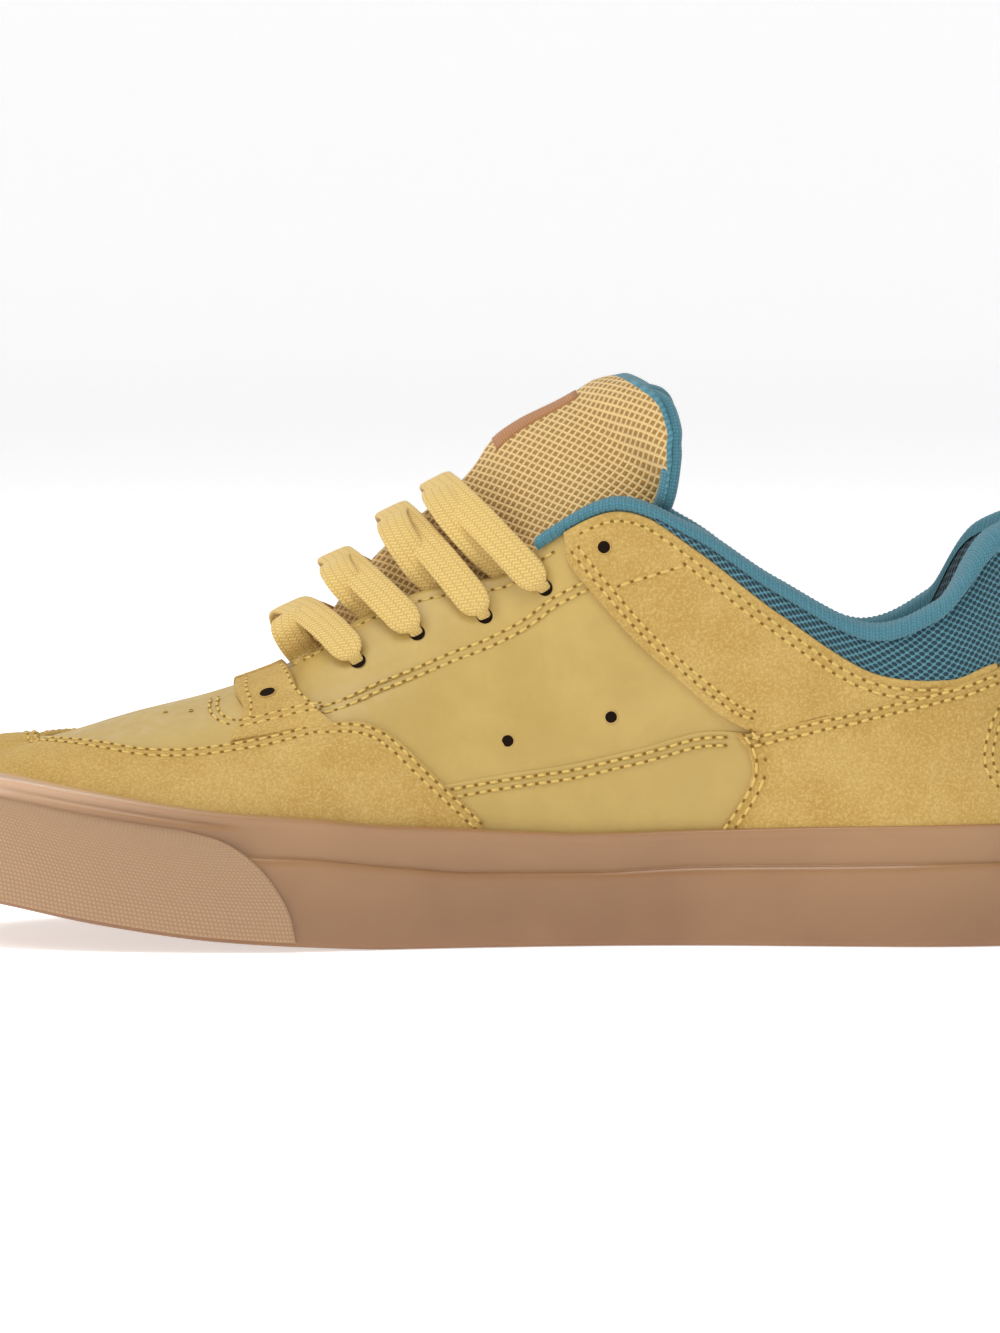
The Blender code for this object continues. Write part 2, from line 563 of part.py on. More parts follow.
def tongue_rows():
    """Rows of (point, direction out, share of the thickness) across the tongue, toe to top."""
    rows = []
    for g in columns_between(TONGUE_START, TONGUE_END):
        left, right = 2 * LAST - g, g
        under = -UPPER_WALL - SOFT_GAP
        hem = [skin(side, TONGUE_HEM, under) for side in (left, right)]
        lean = [(skin(side, TONGUE_HEM, 0.001) - skin(side, TONGUE_HEM)).normalized()
                for side in (left, right)]
        middle = (top_edge(left) + top_edge(right)) / 2
        crown = middle + TONGUE_LEAN * column("rise", g) * COLLAR_HEIGHT - (hem[0] + hem[1]) / 2
        full = min(max((g - TONGUE_START) / 4.0, 0.0), 1.0) * 0.5 + 0.5
        broad = 1.0 - TONGUE_BROAD * min(max((g - 9.2) / (TONGUE_END - 9.2), 0.0), 1.0)
        row = []
        for k in range(TONGUE_SPOTS + 1):
            a = 2.0 * k / TONGUE_SPOTS - 1.0
            side = 0 if a < 0 else 1
            if abs(a) > TONGUE_BELL + 0.01:
                v = TONGUE_HEM - (abs(a) - TONGUE_BELL) / (1.0 - TONGUE_BELL) * TONGUE_FLAP
                at = (left, right)[side]
                out = (skin(at, v, 0.001) - skin(at, v)).normalized()
                row.append((skin(at, v, under), out, 0.55 * full))
            else:
                f = (a / TONGUE_BELL + 1.0) / 2.0
                rise = (0.5 + 0.5 * math.cos(a / TONGUE_BELL * math.pi)) ** broad
                out = (lean[0].lerp(lean[1], f) + TONGUE_LEAN * rise).normalized()
                row.append((hem[0].lerp(hem[1], f) + crown * rise, out, (0.6 + 0.4 * rise) * full))
        rows.append(row)
    for free in TONGUE_FREE:
        spine = column("spine", TONGUE_END) * BALL_WIDTH
        edge_at = Vector((free.edge_station * LENGTH - HEEL_REST, spine, free.edge_height * COLLAR_HEIGHT))
        crown = Vector((free.station * LENGTH - HEEL_REST, spine, free.height * COLLAR_HEIGHT)) - edge_at
        swell = Vector((-crown.z, 0.0, crown.x)).normalized() * free.bulge * COLLAR_HEIGHT
        row = []
        for k in range(TONGUE_SPOTS + 1):
            a = 2.0 * k / TONGUE_SPOTS - 1.0
            turn = max(min(a / TONGUE_BELL, 1.0), -1.0) * math.pi / 2
            across = Vector((0.0, math.sin(turn), 0.0))
            rise = (0.5 + 0.5 * math.cos(2 * turn)) ** free.roundness
            out = (across * abs(math.sin(turn)) + TONGUE_LEAN * math.cos(turn)).normalized()
            point = (edge_at + across * free.half * BALL_WIDTH + crown * rise
                     + swell * 4.0 * rise * (1.0 - rise))
            point.z -= max(abs(a) - TONGUE_BELL, 0.0) / (1.0 - TONGUE_BELL) * TONGUE_TURN
            row.append((point, out, 0.6 + 0.4 * rise))
        rows.append(row)
    return rows


def build_tongue():
    rows = tongue_rows()
    rings = []
    for row in rows:
        outer = [point for point, out, share in row]
        inner = [point - out * TONGUE * share for point, out, share in row]
        rings.append(outer + inner[::-1])
    loft("tongue", rings, MESH, shift=1)
    middle = TONGUE_SPOTS // 2
    outer, inner = [], []
    for row in rows[-6:-2]:
        spots = row[middle - 1:middle + 2]
        outer.append([point + out * (LABEL_GAP + LABEL) for point, out, share in spots])
        inner.append([point + out * LABEL_GAP for point, out, share in spots])
    thicken("tongue_label", outer, inner, PATCH)


# Crossings, from the toe up: place of the crest between the sections, and how far it stands
# over the tongue, share of COLLAR_HEIGHT.
Crossing = namedtuple("Crossing", "section stand")
UNDER_AHEAD = 0.45        # the lace comes up this far behind the hole below, in sections
LACE_STEPS = 10           # steps along one lace
LACE_SPREAD = 1.4         # how soon the lace opens to its full width
CROSSINGS = (Crossing(6.05, 0.086), Crossing(6.95, 0.062), Crossing(7.95, 0.037), Crossing(8.65, 0.034))


def strand(number, inner_side, lift):
    """One flat lace from under one side's edge, over the tongue, down to the other side's hole."""
    hole, below = HOLES[number], HOLES[number - 1]
    turn = (lambda g: g) if inner_side else (lambda g: 2 * LAST - g)
    crossing = CROSSINGS[number - 1]
    low_g = max(below.section + UNDER_AHEAD, THROAT + 0.7)
    start = top_edge(2 * LAST - turn(low_g))
    middle = Vector((start.x, column("spine", low_g) * BALL_WIDTH, start.z))
    start = start + (middle - start).normalized() * LACE_NECK * 0.75 + TONGUE_LEAN * LACE
    end = skin(turn(hole.section), hole.v, SOFT_GAP + LACE / 2)
    crest = top_edge(crossing.section)
    crest.y = column("spine", crossing.section) * BALL_WIDTH
    crest += TONGUE_LEAN * ((column("rise", crossing.section) + crossing.stand) * COLLAR_HEIGHT + lift)
    push = ((8 * crest - start - end) / 3 - start - end) / 2
    along = Vector((TONGUE_LEAN.z, 0.0, -TONGUE_LEAN.x))
    rings = []
    for k in range(LACE_STEPS + 1):
        f = k / LACE_STEPS
        point = ((1 - f) ** 3 * start + 3 * (1 - f) ** 2 * f * (start + push)
                 + 3 * (1 - f) * f * f * (end + push) + f ** 3 * end)
        heading = ((1 - f) ** 2 * push + 2 * (1 - f) * f * (end - start) - f * f * push).normalized()
        wide = (along - heading * along.dot(heading)).normalized()
        thick = heading.cross(wide)
        width = LACE_NECK + (LACE_WIDTH - LACE_NECK) * min(math.sin(math.pi * f) ** 2 * LACE_SPREAD, 1.0)
        half_wide, half_thick = wide * width / 2, thick * LACE / 2
        rings.append([point - half_wide - half_thick, point + half_wide - half_thick,
                      point + half_wide + half_thick, point - half_wide + half_thick])
    return rings


def build_laces():
    for number in range(1, len(CROSSINGS) + 1):
        name = "lace_crossing_" + str(number)
        over = loft(name, strand(number, True, LACE * 0.3), WEBBING, shift=1)
        under = loft(name + "_under", strand(number, False, -LACE * 0.3), WEBBING, shift=1)
        under.hide_render = True
        under.display_type = "WIRE"
        join = over.modifiers.new("join", "BOOLEAN")
        join.operation = "UNION"
        join.object = under


def punch(piece, name, holes, side):
    """Cuts round lace holes square to the surface; side is 1 on the inner side of the foot."""
    bm = bmesh.new()
    for hole in holes:
        g = hole.section if side > 0 else 2 * LAST - hole.section
        middle = skin(g, hole.v)
        axis = (skin(g, hole.v, 0.01) - middle).normalized()
        made = bmesh.ops.create_cone(bm, cap_ends=True, segments=8, radius1=HOLE / 2,
                                     radius2=HOLE / 2, depth=6 * UPPER_WALL)
        turn = axis.to_track_quat("Z", "Y").to_matrix().to_4x4()
        turn.translation = middle
        bmesh.ops.transform(bm, matrix=turn, verts=made["verts"])
    cutter = finish_mesh(name, bm, LINING)
    cutter.hide_render = True
    cutter.display_type = "WIRE"
    cut = piece.modifiers.new(name, "BOOLEAN")
    cut.operation = "DIFFERENCE"
    cut.object = cutter


build_sole()
build_bumper()
upper = build_upper()
build_insole()
build_overlays()
build_collar()
build_tongue()
build_laces()
for side_name, side_sign in (("inner", 1), ("outer", -1)):
    punch(upper, "upper_holes_" + side_name, HOLES, side_sign)
    punch(bpy.data.objects["lace_tab_" + side_name], "tab_hole_" + side_name, HOLES[:1], side_sign)
    punch(bpy.data.objects["eyestay_overlay_" + side_name], "top_hole_" + side_name, HOLES[-1:],
          side_sign)
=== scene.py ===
"""How the skateboarding shoe in the photo looks: its materials, stitches, cloth and laces.

The functions of the lasted upper are the ones that shape the solids, so each piece here lies
where its solid is. +X runs to the toe and +Y is the inner side of the right foot.
"""
import math
from collections import namedtuple
from functools import lru_cache

import bmesh
import bpy
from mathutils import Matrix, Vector, kdtree, noise
from mathutils.bvhtree import BVHTree


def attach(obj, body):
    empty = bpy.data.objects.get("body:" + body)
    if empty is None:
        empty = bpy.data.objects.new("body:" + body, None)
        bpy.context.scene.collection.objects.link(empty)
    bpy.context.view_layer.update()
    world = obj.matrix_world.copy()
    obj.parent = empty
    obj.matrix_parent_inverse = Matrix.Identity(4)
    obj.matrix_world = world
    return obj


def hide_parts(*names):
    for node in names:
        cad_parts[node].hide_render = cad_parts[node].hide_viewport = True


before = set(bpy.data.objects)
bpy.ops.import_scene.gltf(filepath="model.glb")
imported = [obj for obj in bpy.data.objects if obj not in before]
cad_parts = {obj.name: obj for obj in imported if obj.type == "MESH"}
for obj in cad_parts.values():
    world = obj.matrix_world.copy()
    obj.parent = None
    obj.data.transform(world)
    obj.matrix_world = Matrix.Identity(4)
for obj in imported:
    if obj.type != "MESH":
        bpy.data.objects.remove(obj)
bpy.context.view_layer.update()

# Driving sizes, in metres
LENGTH = 0.300            # sole, heel to toe
BALL_WIDTH = 0.1105       # sole, across the ball of the foot
COLLAR_HEIGHT = 0.112     # ground to the top of the collar's binding
SIDE_HEIGHT = 0.0300      # side of the sole at the heel
TOE_SPRING = 0.0145       # lift of the toe tip off the ground
HEEL_REST = 0.045         # from the heel's back to the origin
FOOTBED = 0.0100          # rubber under the insole
SIDE_WALL = 0.0045        # rubber side of the sole, at the bottom of the cup
UPPER_WALL = 0.0022       # leather, foam and lining together
OVERLAY = 0.0012          # suede laid over the upper
TAB = 0.0016              # suede lace tab
BUMPER = 0.0011           # rubber toe band
TONGUE = 0.0085           # padded tongue
LABEL = 0.0006            # woven label on the tongue
BINDING = 0.0009          # knit binding on the collar's outside
OUTER_DIP = 0.0032        # how much lower the collar is below the outer ankle
ROLL_RISE = 0.0028        # height of the rolled collar over the upper's edge
ROLL = 0.0052             # thickness of the collar's pad
COLLAR_DEPTH = 0.030      # how far the collar's pad reaches down inside
LACE_WIDTH = 0.0080       # flat lace at the middle of a crossing
LACE_NECK = 0.0034        # the same lace gathered beside a hole
LACE = 0.0014             # thickness of the lace
HOLE = 0.0028             # diameter of the punched lace holes
GAP = 0.0003              # clearance between neighbours
OVERLAY_GAP = 0.0004      # clearance of an overlay that follows a curved surface
SOFT_GAP = 0.0006         # clearance where a soft piece curves under a stiff one

# One row for each section of the upper, from the toe tip to the back of the heel.
# station, top_station: shares of LENGTH from the heel. inner, outer: outline of the sole, and
# spine, top_half: middle line and half width of the opening, shares of BALL_WIDTH.
# top_height: share of COLLAR_HEIGHT. lift, drop: handles of the section's curve, shares of
# COLLAR_HEIGHT. flare, reach: the same, shares of BALL_WIDTH. rise: how far the tongue
# stands over the opening's edge, share of COLLAR_HEIGHT.
Section = namedtuple("Section", "station inner outer spine top_station top_half top_height "
                                "lift flare reach drop rise")
SECTIONS = [Section(*row) for row in (
    (1.0000, 0.072, 0.072, 0.054, 0.8933, 0.000, 0.4473, 0.214, 0.005, 0.199, 0.000, -0.027),
    (0.9883, 0.213, -0.072, 0.045, 0.8700, 0.000, 0.4527, 0.210, 0.005, 0.208, 0.000, -0.027),
    (0.9467, 0.344, -0.244, 0.027, 0.8457, 0.000, 0.4732, 0.214, 0.009, 0.235, 0.000, -0.027),
    (0.8733, 0.430, -0.407, 0.000, 0.8100, 0.000, 0.5018, 0.223, 0.014, 0.262, 0.000, -0.027),
    (0.7833, 0.462, -0.516, -0.027, 0.7600, 0.000, 0.5339, 0.241, 0.018, 0.271, 0.000, -0.027),
    (0.6900, 0.457, -0.543, -0.036, 0.6933, 0.000, 0.5938, 0.250, 0.018, 0.271, 0.000, -0.027),
    (0.6333, 0.430, -0.534, -0.041, 0.6633, 0.100, 0.6384, 0.250, 0.018, 0.181, 0.036, 0.012),
    (0.5733, 0.394, -0.511, -0.041, 0.6160, 0.131, 0.7277, 0.259, 0.014, 0.145, 0.080, 0.075),
    (0.5067, 0.356, -0.475, -0.041, 0.5600, 0.163, 0.7884, 0.268, 0.009, 0.118, 0.116, 0.143),
    (0.4333, 0.326, -0.434, -0.041, 0.5000, 0.190, 0.8196, 0.286, 0.009, 0.100, 0.152, 0.214),
    (0.3733, 0.313, -0.412, -0.036, 0.4633, 0.217, 0.9018, 0.304, 0.009, 0.081, 0.196, 0.232),
    (0.3167, 0.315, -0.394, -0.032, 0.4050, 0.244, 0.9759, 0.312, 0.014, 0.054, 0.241, 0.232),
    (0.2600, 0.328, -0.383, -0.027, 0.3433, 0.267, 0.9134, 0.295, 0.018, 0.036, 0.241, 0.000),
    (0.2000, 0.342, -0.380, -0.018, 0.2733, 0.281, 0.7946, 0.259, 0.023, 0.027, 0.214, 0.000),
    (0.1400, 0.347, -0.371, -0.009, 0.1933, 0.285, 0.6946, 0.232, 0.027, 0.018, 0.179, 0.000),
    (0.0800, 0.319, -0.335, -0.005, 0.1400, 0.276, 0.7455, 0.250, 0.036, 0.009, 0.214, 0.000),
    (0.0333, 0.240, -0.249, 0.000, 0.0900, 0.222, 0.9018, 0.268, 0.045, -0.018, 0.250, 0.000),
    (0.0077, 0.122, -0.127, 0.000, 0.0433, 0.122, 0.9464, 0.277, 0.050, -0.036, 0.268, 0.000),
    (0.0000, 0.000, 0.000, 0.000, 0.0317, 0.000, 0.9554, 0.277, 0.054, -0.045, 0.268, 0.000))]
LAST = len(SECTIONS) - 1          # section at the back of the heel
THROAT = 5                        # section where the throat opens
EDGE_V = 0.985                    # v nearest the top edge at which the wall's direction is taken
NEAR_COLUMN = 0.15                # columns nearer than this to a piece's end are left out
STEEPEST = 0.6                    # limit on the slope of the top edge in the section's curve
DIP_SECTION, DIP_WIDTH = 13.3, 1.6    # middle and width of the outer collar's dip, in sections

# One row for each station of the sole's side. bottom: share of TOE_SPRING.
# ridge: top of the thick lower band, and side: top edge, both above the bottom, share of SIDE_HEIGHT.
SolePlace = namedtuple("SolePlace", "station bottom ridge side")
SOLE = tuple(SolePlace(*row) for row in (
    (0.000, 0.08, 0.700, 1.000),
    (0.045, 0.00, 0.700, 1.000),
    (0.230, 0.00, 0.670, 0.977),
    (0.340, 0.00, 0.653, 0.943),
    (0.430, 0.00, 0.613, 0.920),
    (0.530, 0.00, 0.623, 0.967),
    (0.590, 0.00, 0.680, 1.000),
    (0.670, 0.07, 0.730, 1.043),
    (0.740, 0.17, 0.715, 1.050),
    (0.835, 0.44, 0.700, 1.060),
    (0.917, 0.75, 0.700, 1.043),
    (1.000, 1.00, 0.700, 1.000)))


def smooth(places, values, x):
    """Smooth value at x between rows, which never overshoots them."""
    last = len(places) - 1
    x = min(max(x, places[0]), places[-1])
    i = max(k for k in range(last) if places[k] <= x)
    width = [places[k + 1] - places[k] for k in range(last)]
    rate = [(values[k + 1] - values[k]) / width[k] for k in range(last)]

    def slope(k):
        if k in (0, last):
            return rate[min(k, last - 1)]
        if rate[k - 1] * rate[k] <= 0.0:
            return 0.0
        a, b = 2 * width[k] + width[k - 1], width[k] + 2 * width[k - 1]
        return (a + b) / (a / rate[k - 1] + b / rate[k])

    f = (x - places[i]) / width[i]
    return ((1 + 2 * f) * (1 - f) ** 2 * values[i] + f * f * (3 - 2 * f) * values[i + 1]
            + width[i] * (f * (1 - f) ** 2 * slope(i) - f * f * (1 - f) * slope(i + 1)))


@lru_cache(maxsize=None)
def table_value(rows, name, x):
    """Value of a named column at x in the table's first column."""
    return smooth([row[0] for row in rows], [getattr(row, name) for row in rows], x)


def fold(g):
    """Section of a place; g runs round the shoe, 0 at the toe and LAST at the heel."""
    g = g % (2 * LAST)
    return g if g <= LAST else 2 * LAST - g


@lru_cache(maxsize=None)
def column(name, g):
    """Value of a column of SECTIONS at a place."""
    return smooth(range(LAST + 1), [getattr(row, name) for row in SECTIONS], fold(g))


def catmull(a, b, c, d, f):
    return 0.5 * (2 * b + (c - a) * f + (2 * a - 5 * b + 4 * c - d) * f * f
                  + (3 * b - a - 3 * c + d) * f ** 3)


@lru_cache(maxsize=None)
def outline(g):
    """Plan point of the sole's outer edge."""
    def corner(k):
        row = SECTIONS[fold(k)]
        side = row.inner if k % (2 * LAST) <= LAST else row.outer
        return Vector((row.station * LENGTH - HEEL_REST, side * BALL_WIDTH, 0.0))
    i = math.floor(g)
    return catmull(corner(i - 1), corner(i), corner(i + 1), corner(i + 2), g - i)


@lru_cache(maxsize=None)
def outward(g):
    along = outline(g + 0.02) - outline(g - 0.02)
    return Vector((along.y, -along.x, 0.0)).normalized()


def station_of(point):
    return (point.x + HEEL_REST) / LENGTH


def bottom_height(point):
    return table_value(SOLE, "bottom", station_of(point)) * TOE_SPRING


def ridge_height(point):
    return bottom_height(point) + table_value(SOLE, "ridge", station_of(point)) * SIDE_HEIGHT


def side_height(point):
    return bottom_height(point) + table_value(SOLE, "side", station_of(point)) * SIDE_HEIGHT


def top_edge(g):
    """Edge of the throat and collar, or the middle line of the vamp ahead of them."""
    g = g % (2 * LAST)
    side = 1.0 if g <= LAST else -1.0
    across = column("spine", g) + side * column("top_half", g)
    dip = OUTER_DIP * hump(2 * LAST - g, DIP_SECTION, DIP_WIDTH) if side < 0.0 else 0.0
    return Vector((column("top_station", g) * LENGTH - HEEL_REST, across * BALL_WIDTH,
                   column("top_height", g) * COLLAR_HEIGHT - dip))


@lru_cache(maxsize=None)
def handles(g):
    """The four points that shape the upper's section at g."""
    out = outward(g)
    foot = outline(g) - out * (SIDE_WALL + GAP)
    foot.z = bottom_height(foot) + FOOTBED + GAP
    top = top_edge(g)
    before, after = top_edge(g - 0.05), top_edge(g + 0.05)
    run = after.x - before.x
    slope = (after.z - before.z) / run if abs(run) > 1e-6 else 0.0
    slope = min(max(slope, -STEEPEST), STEEPEST)
    reach = column("reach", g) * BALL_WIDTH
    low = foot + out * column("flare", g) * BALL_WIDTH
    low.z += column("lift", g) * COLLAR_HEIGHT
    high = top + out * reach
    high.z += out.x * slope * reach - column("drop", g) * COLLAR_HEIGHT
    return foot, low, high, top


def surface(g, v):
    """Outside of the upper: v is 0 at the feather line in the cup and 1 at the top edge."""
    foot, low, high, top = handles(g)
    w = 1.0 - v
    return w ** 3 * foot + 3 * w * w * v * low + 3 * w * v * v * high + v ** 3 * top


def skin(g, v, out=0.0):
    """Point at a distance out from the upper's outside; a negative one is inside the wall."""
    point = surface(g, v)
    if out == 0.0:
        return point
    near = min(max(v, 0.0), EDGE_V)
    along = surface(g + 0.03, near) - surface(g - 0.03, near)
    up = surface(g, near + 0.015) - surface(g, max(near - 0.015, 0.0))
    return point + along.cross(up).normalized() * out


def facing(g, v, out=0.0):
    """Direction out of the upper at a place."""
    return (skin(g, v, out + 0.001) - skin(g, v, out)).normalized()


def rise_to(g, height):
    """The v at which a section reaches a height."""
    low, high = 0.0, 0.9
    for _ in range(24):
        middle = (low + high) / 2
        if surface(g, middle).z < height:
            low = middle
        else:
            high = middle
    return low


@lru_cache(maxsize=None)
def cup_edge(g, above=0.0):
    """The v where the upper leaves the sole's top edge, plus a height above it."""
    return rise_to(g, side_height(surface(g, 0.2)) + above)


# Edges of the overlays on the upper. station is the section, from toe to heel, and share is v.
EdgePoint = namedtuple("EdgePoint", "station share")


def edge_rows(*rows):
    return tuple(EdgePoint(*row) for row in rows)


TOE_EDGE = edge_rows(
    (0.0, 0.992), (0.4, 0.960), (0.9, 0.905), (1.6, 0.810), (2.9, 0.635), (3.7, 0.545), (4.2, 0.532),
    (5.1, 0.542), (5.9, 0.564), (6.4, 0.551), (6.7, 0.520), (7.0, 0.465), (7.5, 0.335), (8.1, 0.195))
HEEL_EDGE = edge_rows(
    (10.9, 0.420), (11.7, 0.425), (12.2, 0.462), (12.6, 0.512), (13.0, 0.567), (13.4, 0.632),
    (13.8, 0.704), (14.2, 0.738), (14.7, 0.741), (15.0, 0.734), (15.3, 0.712), (15.7, 0.672),
    (16.5, 0.662), (18.0, 0.660))
EYESTAY_LOW = edge_rows(
    (10.1, 0.960), (10.5, 0.755), (10.8, 0.625), (11.2, 0.530), (11.7, 0.460), (12.2, 0.480),
    (13.0, 0.590), (13.8, 0.700), (14.7, 0.756))
EYESTAY_HIGH = edge_rows(
    (10.1, 0.985), (11.4, 0.985), (12.1, 0.955), (13.0, 0.914), (13.5, 0.878), (13.9, 0.843),
    (14.3, 0.810), (14.7, 0.780), (15.3, 0.732), (15.8, 0.676))
# Front edge of the heel overlay, from the sole up: share of its height, and section.
HEEL_FRONT = edge_rows(
    (0.00, 10.95), (0.22, 11.27), (0.49, 11.63), (0.65, 11.77), (0.83, 11.82), (1.00, 11.71))
# Rear end of the toe bumper, from its lower edge up: height and station of each row,
# shares of SIDE_HEIGHT and LENGTH.
BumperRow = namedtuple("BumperRow", "height station")
BUMPER_ROWS = [BumperRow(0.04, 0.673), BumperRow(0.27, 0.678), BumperRow(0.48, 0.689),
               BumperRow(0.65, 0.703), BumperRow(0.78, 0.720), BumperRow(0.86, 0.738),
               BumperRow(0.905, 0.767)]
# Punched lace holes of one side, from the tab to the top: section and v.
Hole = namedtuple("Hole", "section v")
HOLES = [Hole(4.87, 0.786), Hole(6.63, 0.790), Hole(7.58, 0.825), Hole(8.55, 0.860),
         Hole(9.71, 0.875), Hole(10.76, 0.886)]


def edge(rows, g):
    """v of an overlay's edge, the same on both sides of the shoe."""
    return table_value(rows, "share", fold(g))


@lru_cache(maxsize=None)
def place_at(station):
    """Section at which the inner side of the outline has a station."""
    low, high = 0.0, float(LAST)
    for _ in range(30):
        middle = (low + high) / 2
        if station_of(outline(middle)) > station:
            low = middle
        else:
            high = middle
    return low


LIP_INSET = 0.0010        # how far the lip stands back from the outline
BAND_INSET = 0.0016       # how far the upper band stands back
LIP_HEIGHT = 0.0024       # height of the rolled lip
EDGE_ROUND = 0.0020       # rounding under the sole's edge and on the lower band
BAND_END = 0.70           # station ahead of which the upper band fills out under the bumper
BAND_FADE = 0.06          # share of LENGTH over which it does


# Mesh tools

def lengths(points):
    """Distances along a line of points, from its start."""
    total = [0.0]
    for a, b in zip(points, points[1:]):
        total.append(total[-1] + (b - a).length)
    return total


def show(name, data):
    thing = bpy.data.objects.new(name, data)
    bpy.context.scene.collection.objects.link(thing)
    return thing


def solid(name, bm, looks, merge):
    """Object of a finished mesh whose doubled points are merged."""
    if merge:
        bmesh.ops.remove_doubles(bm, verts=bm.verts, dist=merge)
    mesh = bpy.data.meshes.new(name)
    bm.to_mesh(mesh)
    bm.free()
    for look in looks:
        mesh.materials.append(look)
    return show(name, mesh)


def finish_piece(name, bm, looks, node=None, merge=2e-6):
    piece = solid(name, bm, looks, merge)
    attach(piece, "root")
    if node:
        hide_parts(*([node] if isinstance(node, str) else node))
    return piece


def lay(bm, grid, look, closed=False, flip=False, chart=None):
    """Faces over a grid of points, with a UV map in metres; returns the grid of vertices.
    chart holds the map where the grid isn't laid out evenly."""
    layer = bm.loops.layers.uv.verify()
    verts = [[bm.verts.new(point) for point in line] for line in grid]
    middle = len(grid[0]) // 2
    u = lengths([line[middle] for line in grid] + ([grid[0][middle]] if closed else []))
    w = [lengths(line) for line in grid]
    count = len(grid)
    for i in range(count if closed else count - 1):
        k = (i + 1) % count
        for j in range(len(grid[0]) - 1):
            ring = [verts[i][j], verts[k][j], verts[k][j + 1], verts[i][j + 1]]
            if chart:
                spots = [chart[i][j], chart[k][j], chart[k][j + 1], chart[i][j + 1]]
            else:
                spots = [(u[i], w[i][j]), (u[i + 1], w[k][j]), (u[i + 1], w[k][j + 1]), (u[i], w[i][j + 1])]
            if flip:
                ring.reverse()
                spots.reverse()
            face = bm.faces.new(ring)
            face.smooth = True
            face.material_index = look
            for loop, spot in zip(face.loops, spots):
                loop[layer].uv = spot
    return verts


def shell(name, outer, inner, looks, node=None, closed=False, rim=0, chart=None):
    """Wall between two grids of points."""
    bm = bmesh.new()
    a = lay(bm, outer, 0, closed, chart=chart)
    b = lay(bm, inner, len(looks) - 1, closed, True)
    count, last = len(a), len(a[0]) - 1
    borders = []
    for i in range(count if closed else count - 1):
        k = (i + 1) % count
        borders += [[a[k][0], a[i][0], b[i][0], b[k][0]],
                    [a[i][last], a[k][last], b[k][last], b[i][last]]]
    if not closed:
        for j in range(last):
            borders += [[a[0][j], a[0][j + 1], b[0][j + 1], b[0][j]],
                        [a[-1][j + 1], a[-1][j], b[-1][j], b[-1][j + 1]]]
    for ring in borders:
        face = bm.faces.new(ring)
        face.smooth = True
        face.material_index = rim
    return finish_piece(name, bm, looks, node)


def tube(bm, rings, look=0, ends=True):
    """Closed rings of equal count joined into a tube, with its ends closed."""
    layer = bm.loops.layers.uv.verify()
    lines = [[bm.verts.new(point) for point in ring] for ring in rings]
    count = len(lines[0])
    u = lengths([ring[0] for ring in rings])
    w = lengths(rings[len(rings) // 2] + [rings[len(rings) // 2][0]])
    for i in range(len(lines) - 1):
        for j in range(count):
            k = (j + 1) % count
            face = bm.faces.new([lines[i][j], lines[i][k], lines[i + 1][k], lines[i + 1][j]])
            face.smooth = True
            face.material_index = look
            spots = [(u[i], w[j]), (u[i], w[j + 1]), (u[i + 1], w[j + 1]), (u[i + 1], w[j])]
            for loop, spot in zip(face.loops, spots):
                loop[layer].uv = spot
    if ends:
        for line in (lines[0][::-1], lines[-1]):
            face = bm.faces.new(line)
            face.smooth = True
            face.material_index = look
    return lines


def ease(x, low, high):
    f = min(max((x - low) / (high - low), 0.0), 1.0)
    return f * f * (3 - 2 * f)


def hump(x, middle, width):
    return math.exp(-((x - middle) / width) ** 2)


def turns(count):
    """Angles of evenly spaced points on a ring."""
    return [2 * math.pi * k / count for k in range(count)]


def grids(columns, rows, pair):
    """Grids of the outside and the inside of a wall; pair gives both points at a place."""
    both = [[pair(place, row) for row in rows] for place in columns]
    return [[[points[side] for points in line] for line in both] for side in (0, 1)]


# Materials

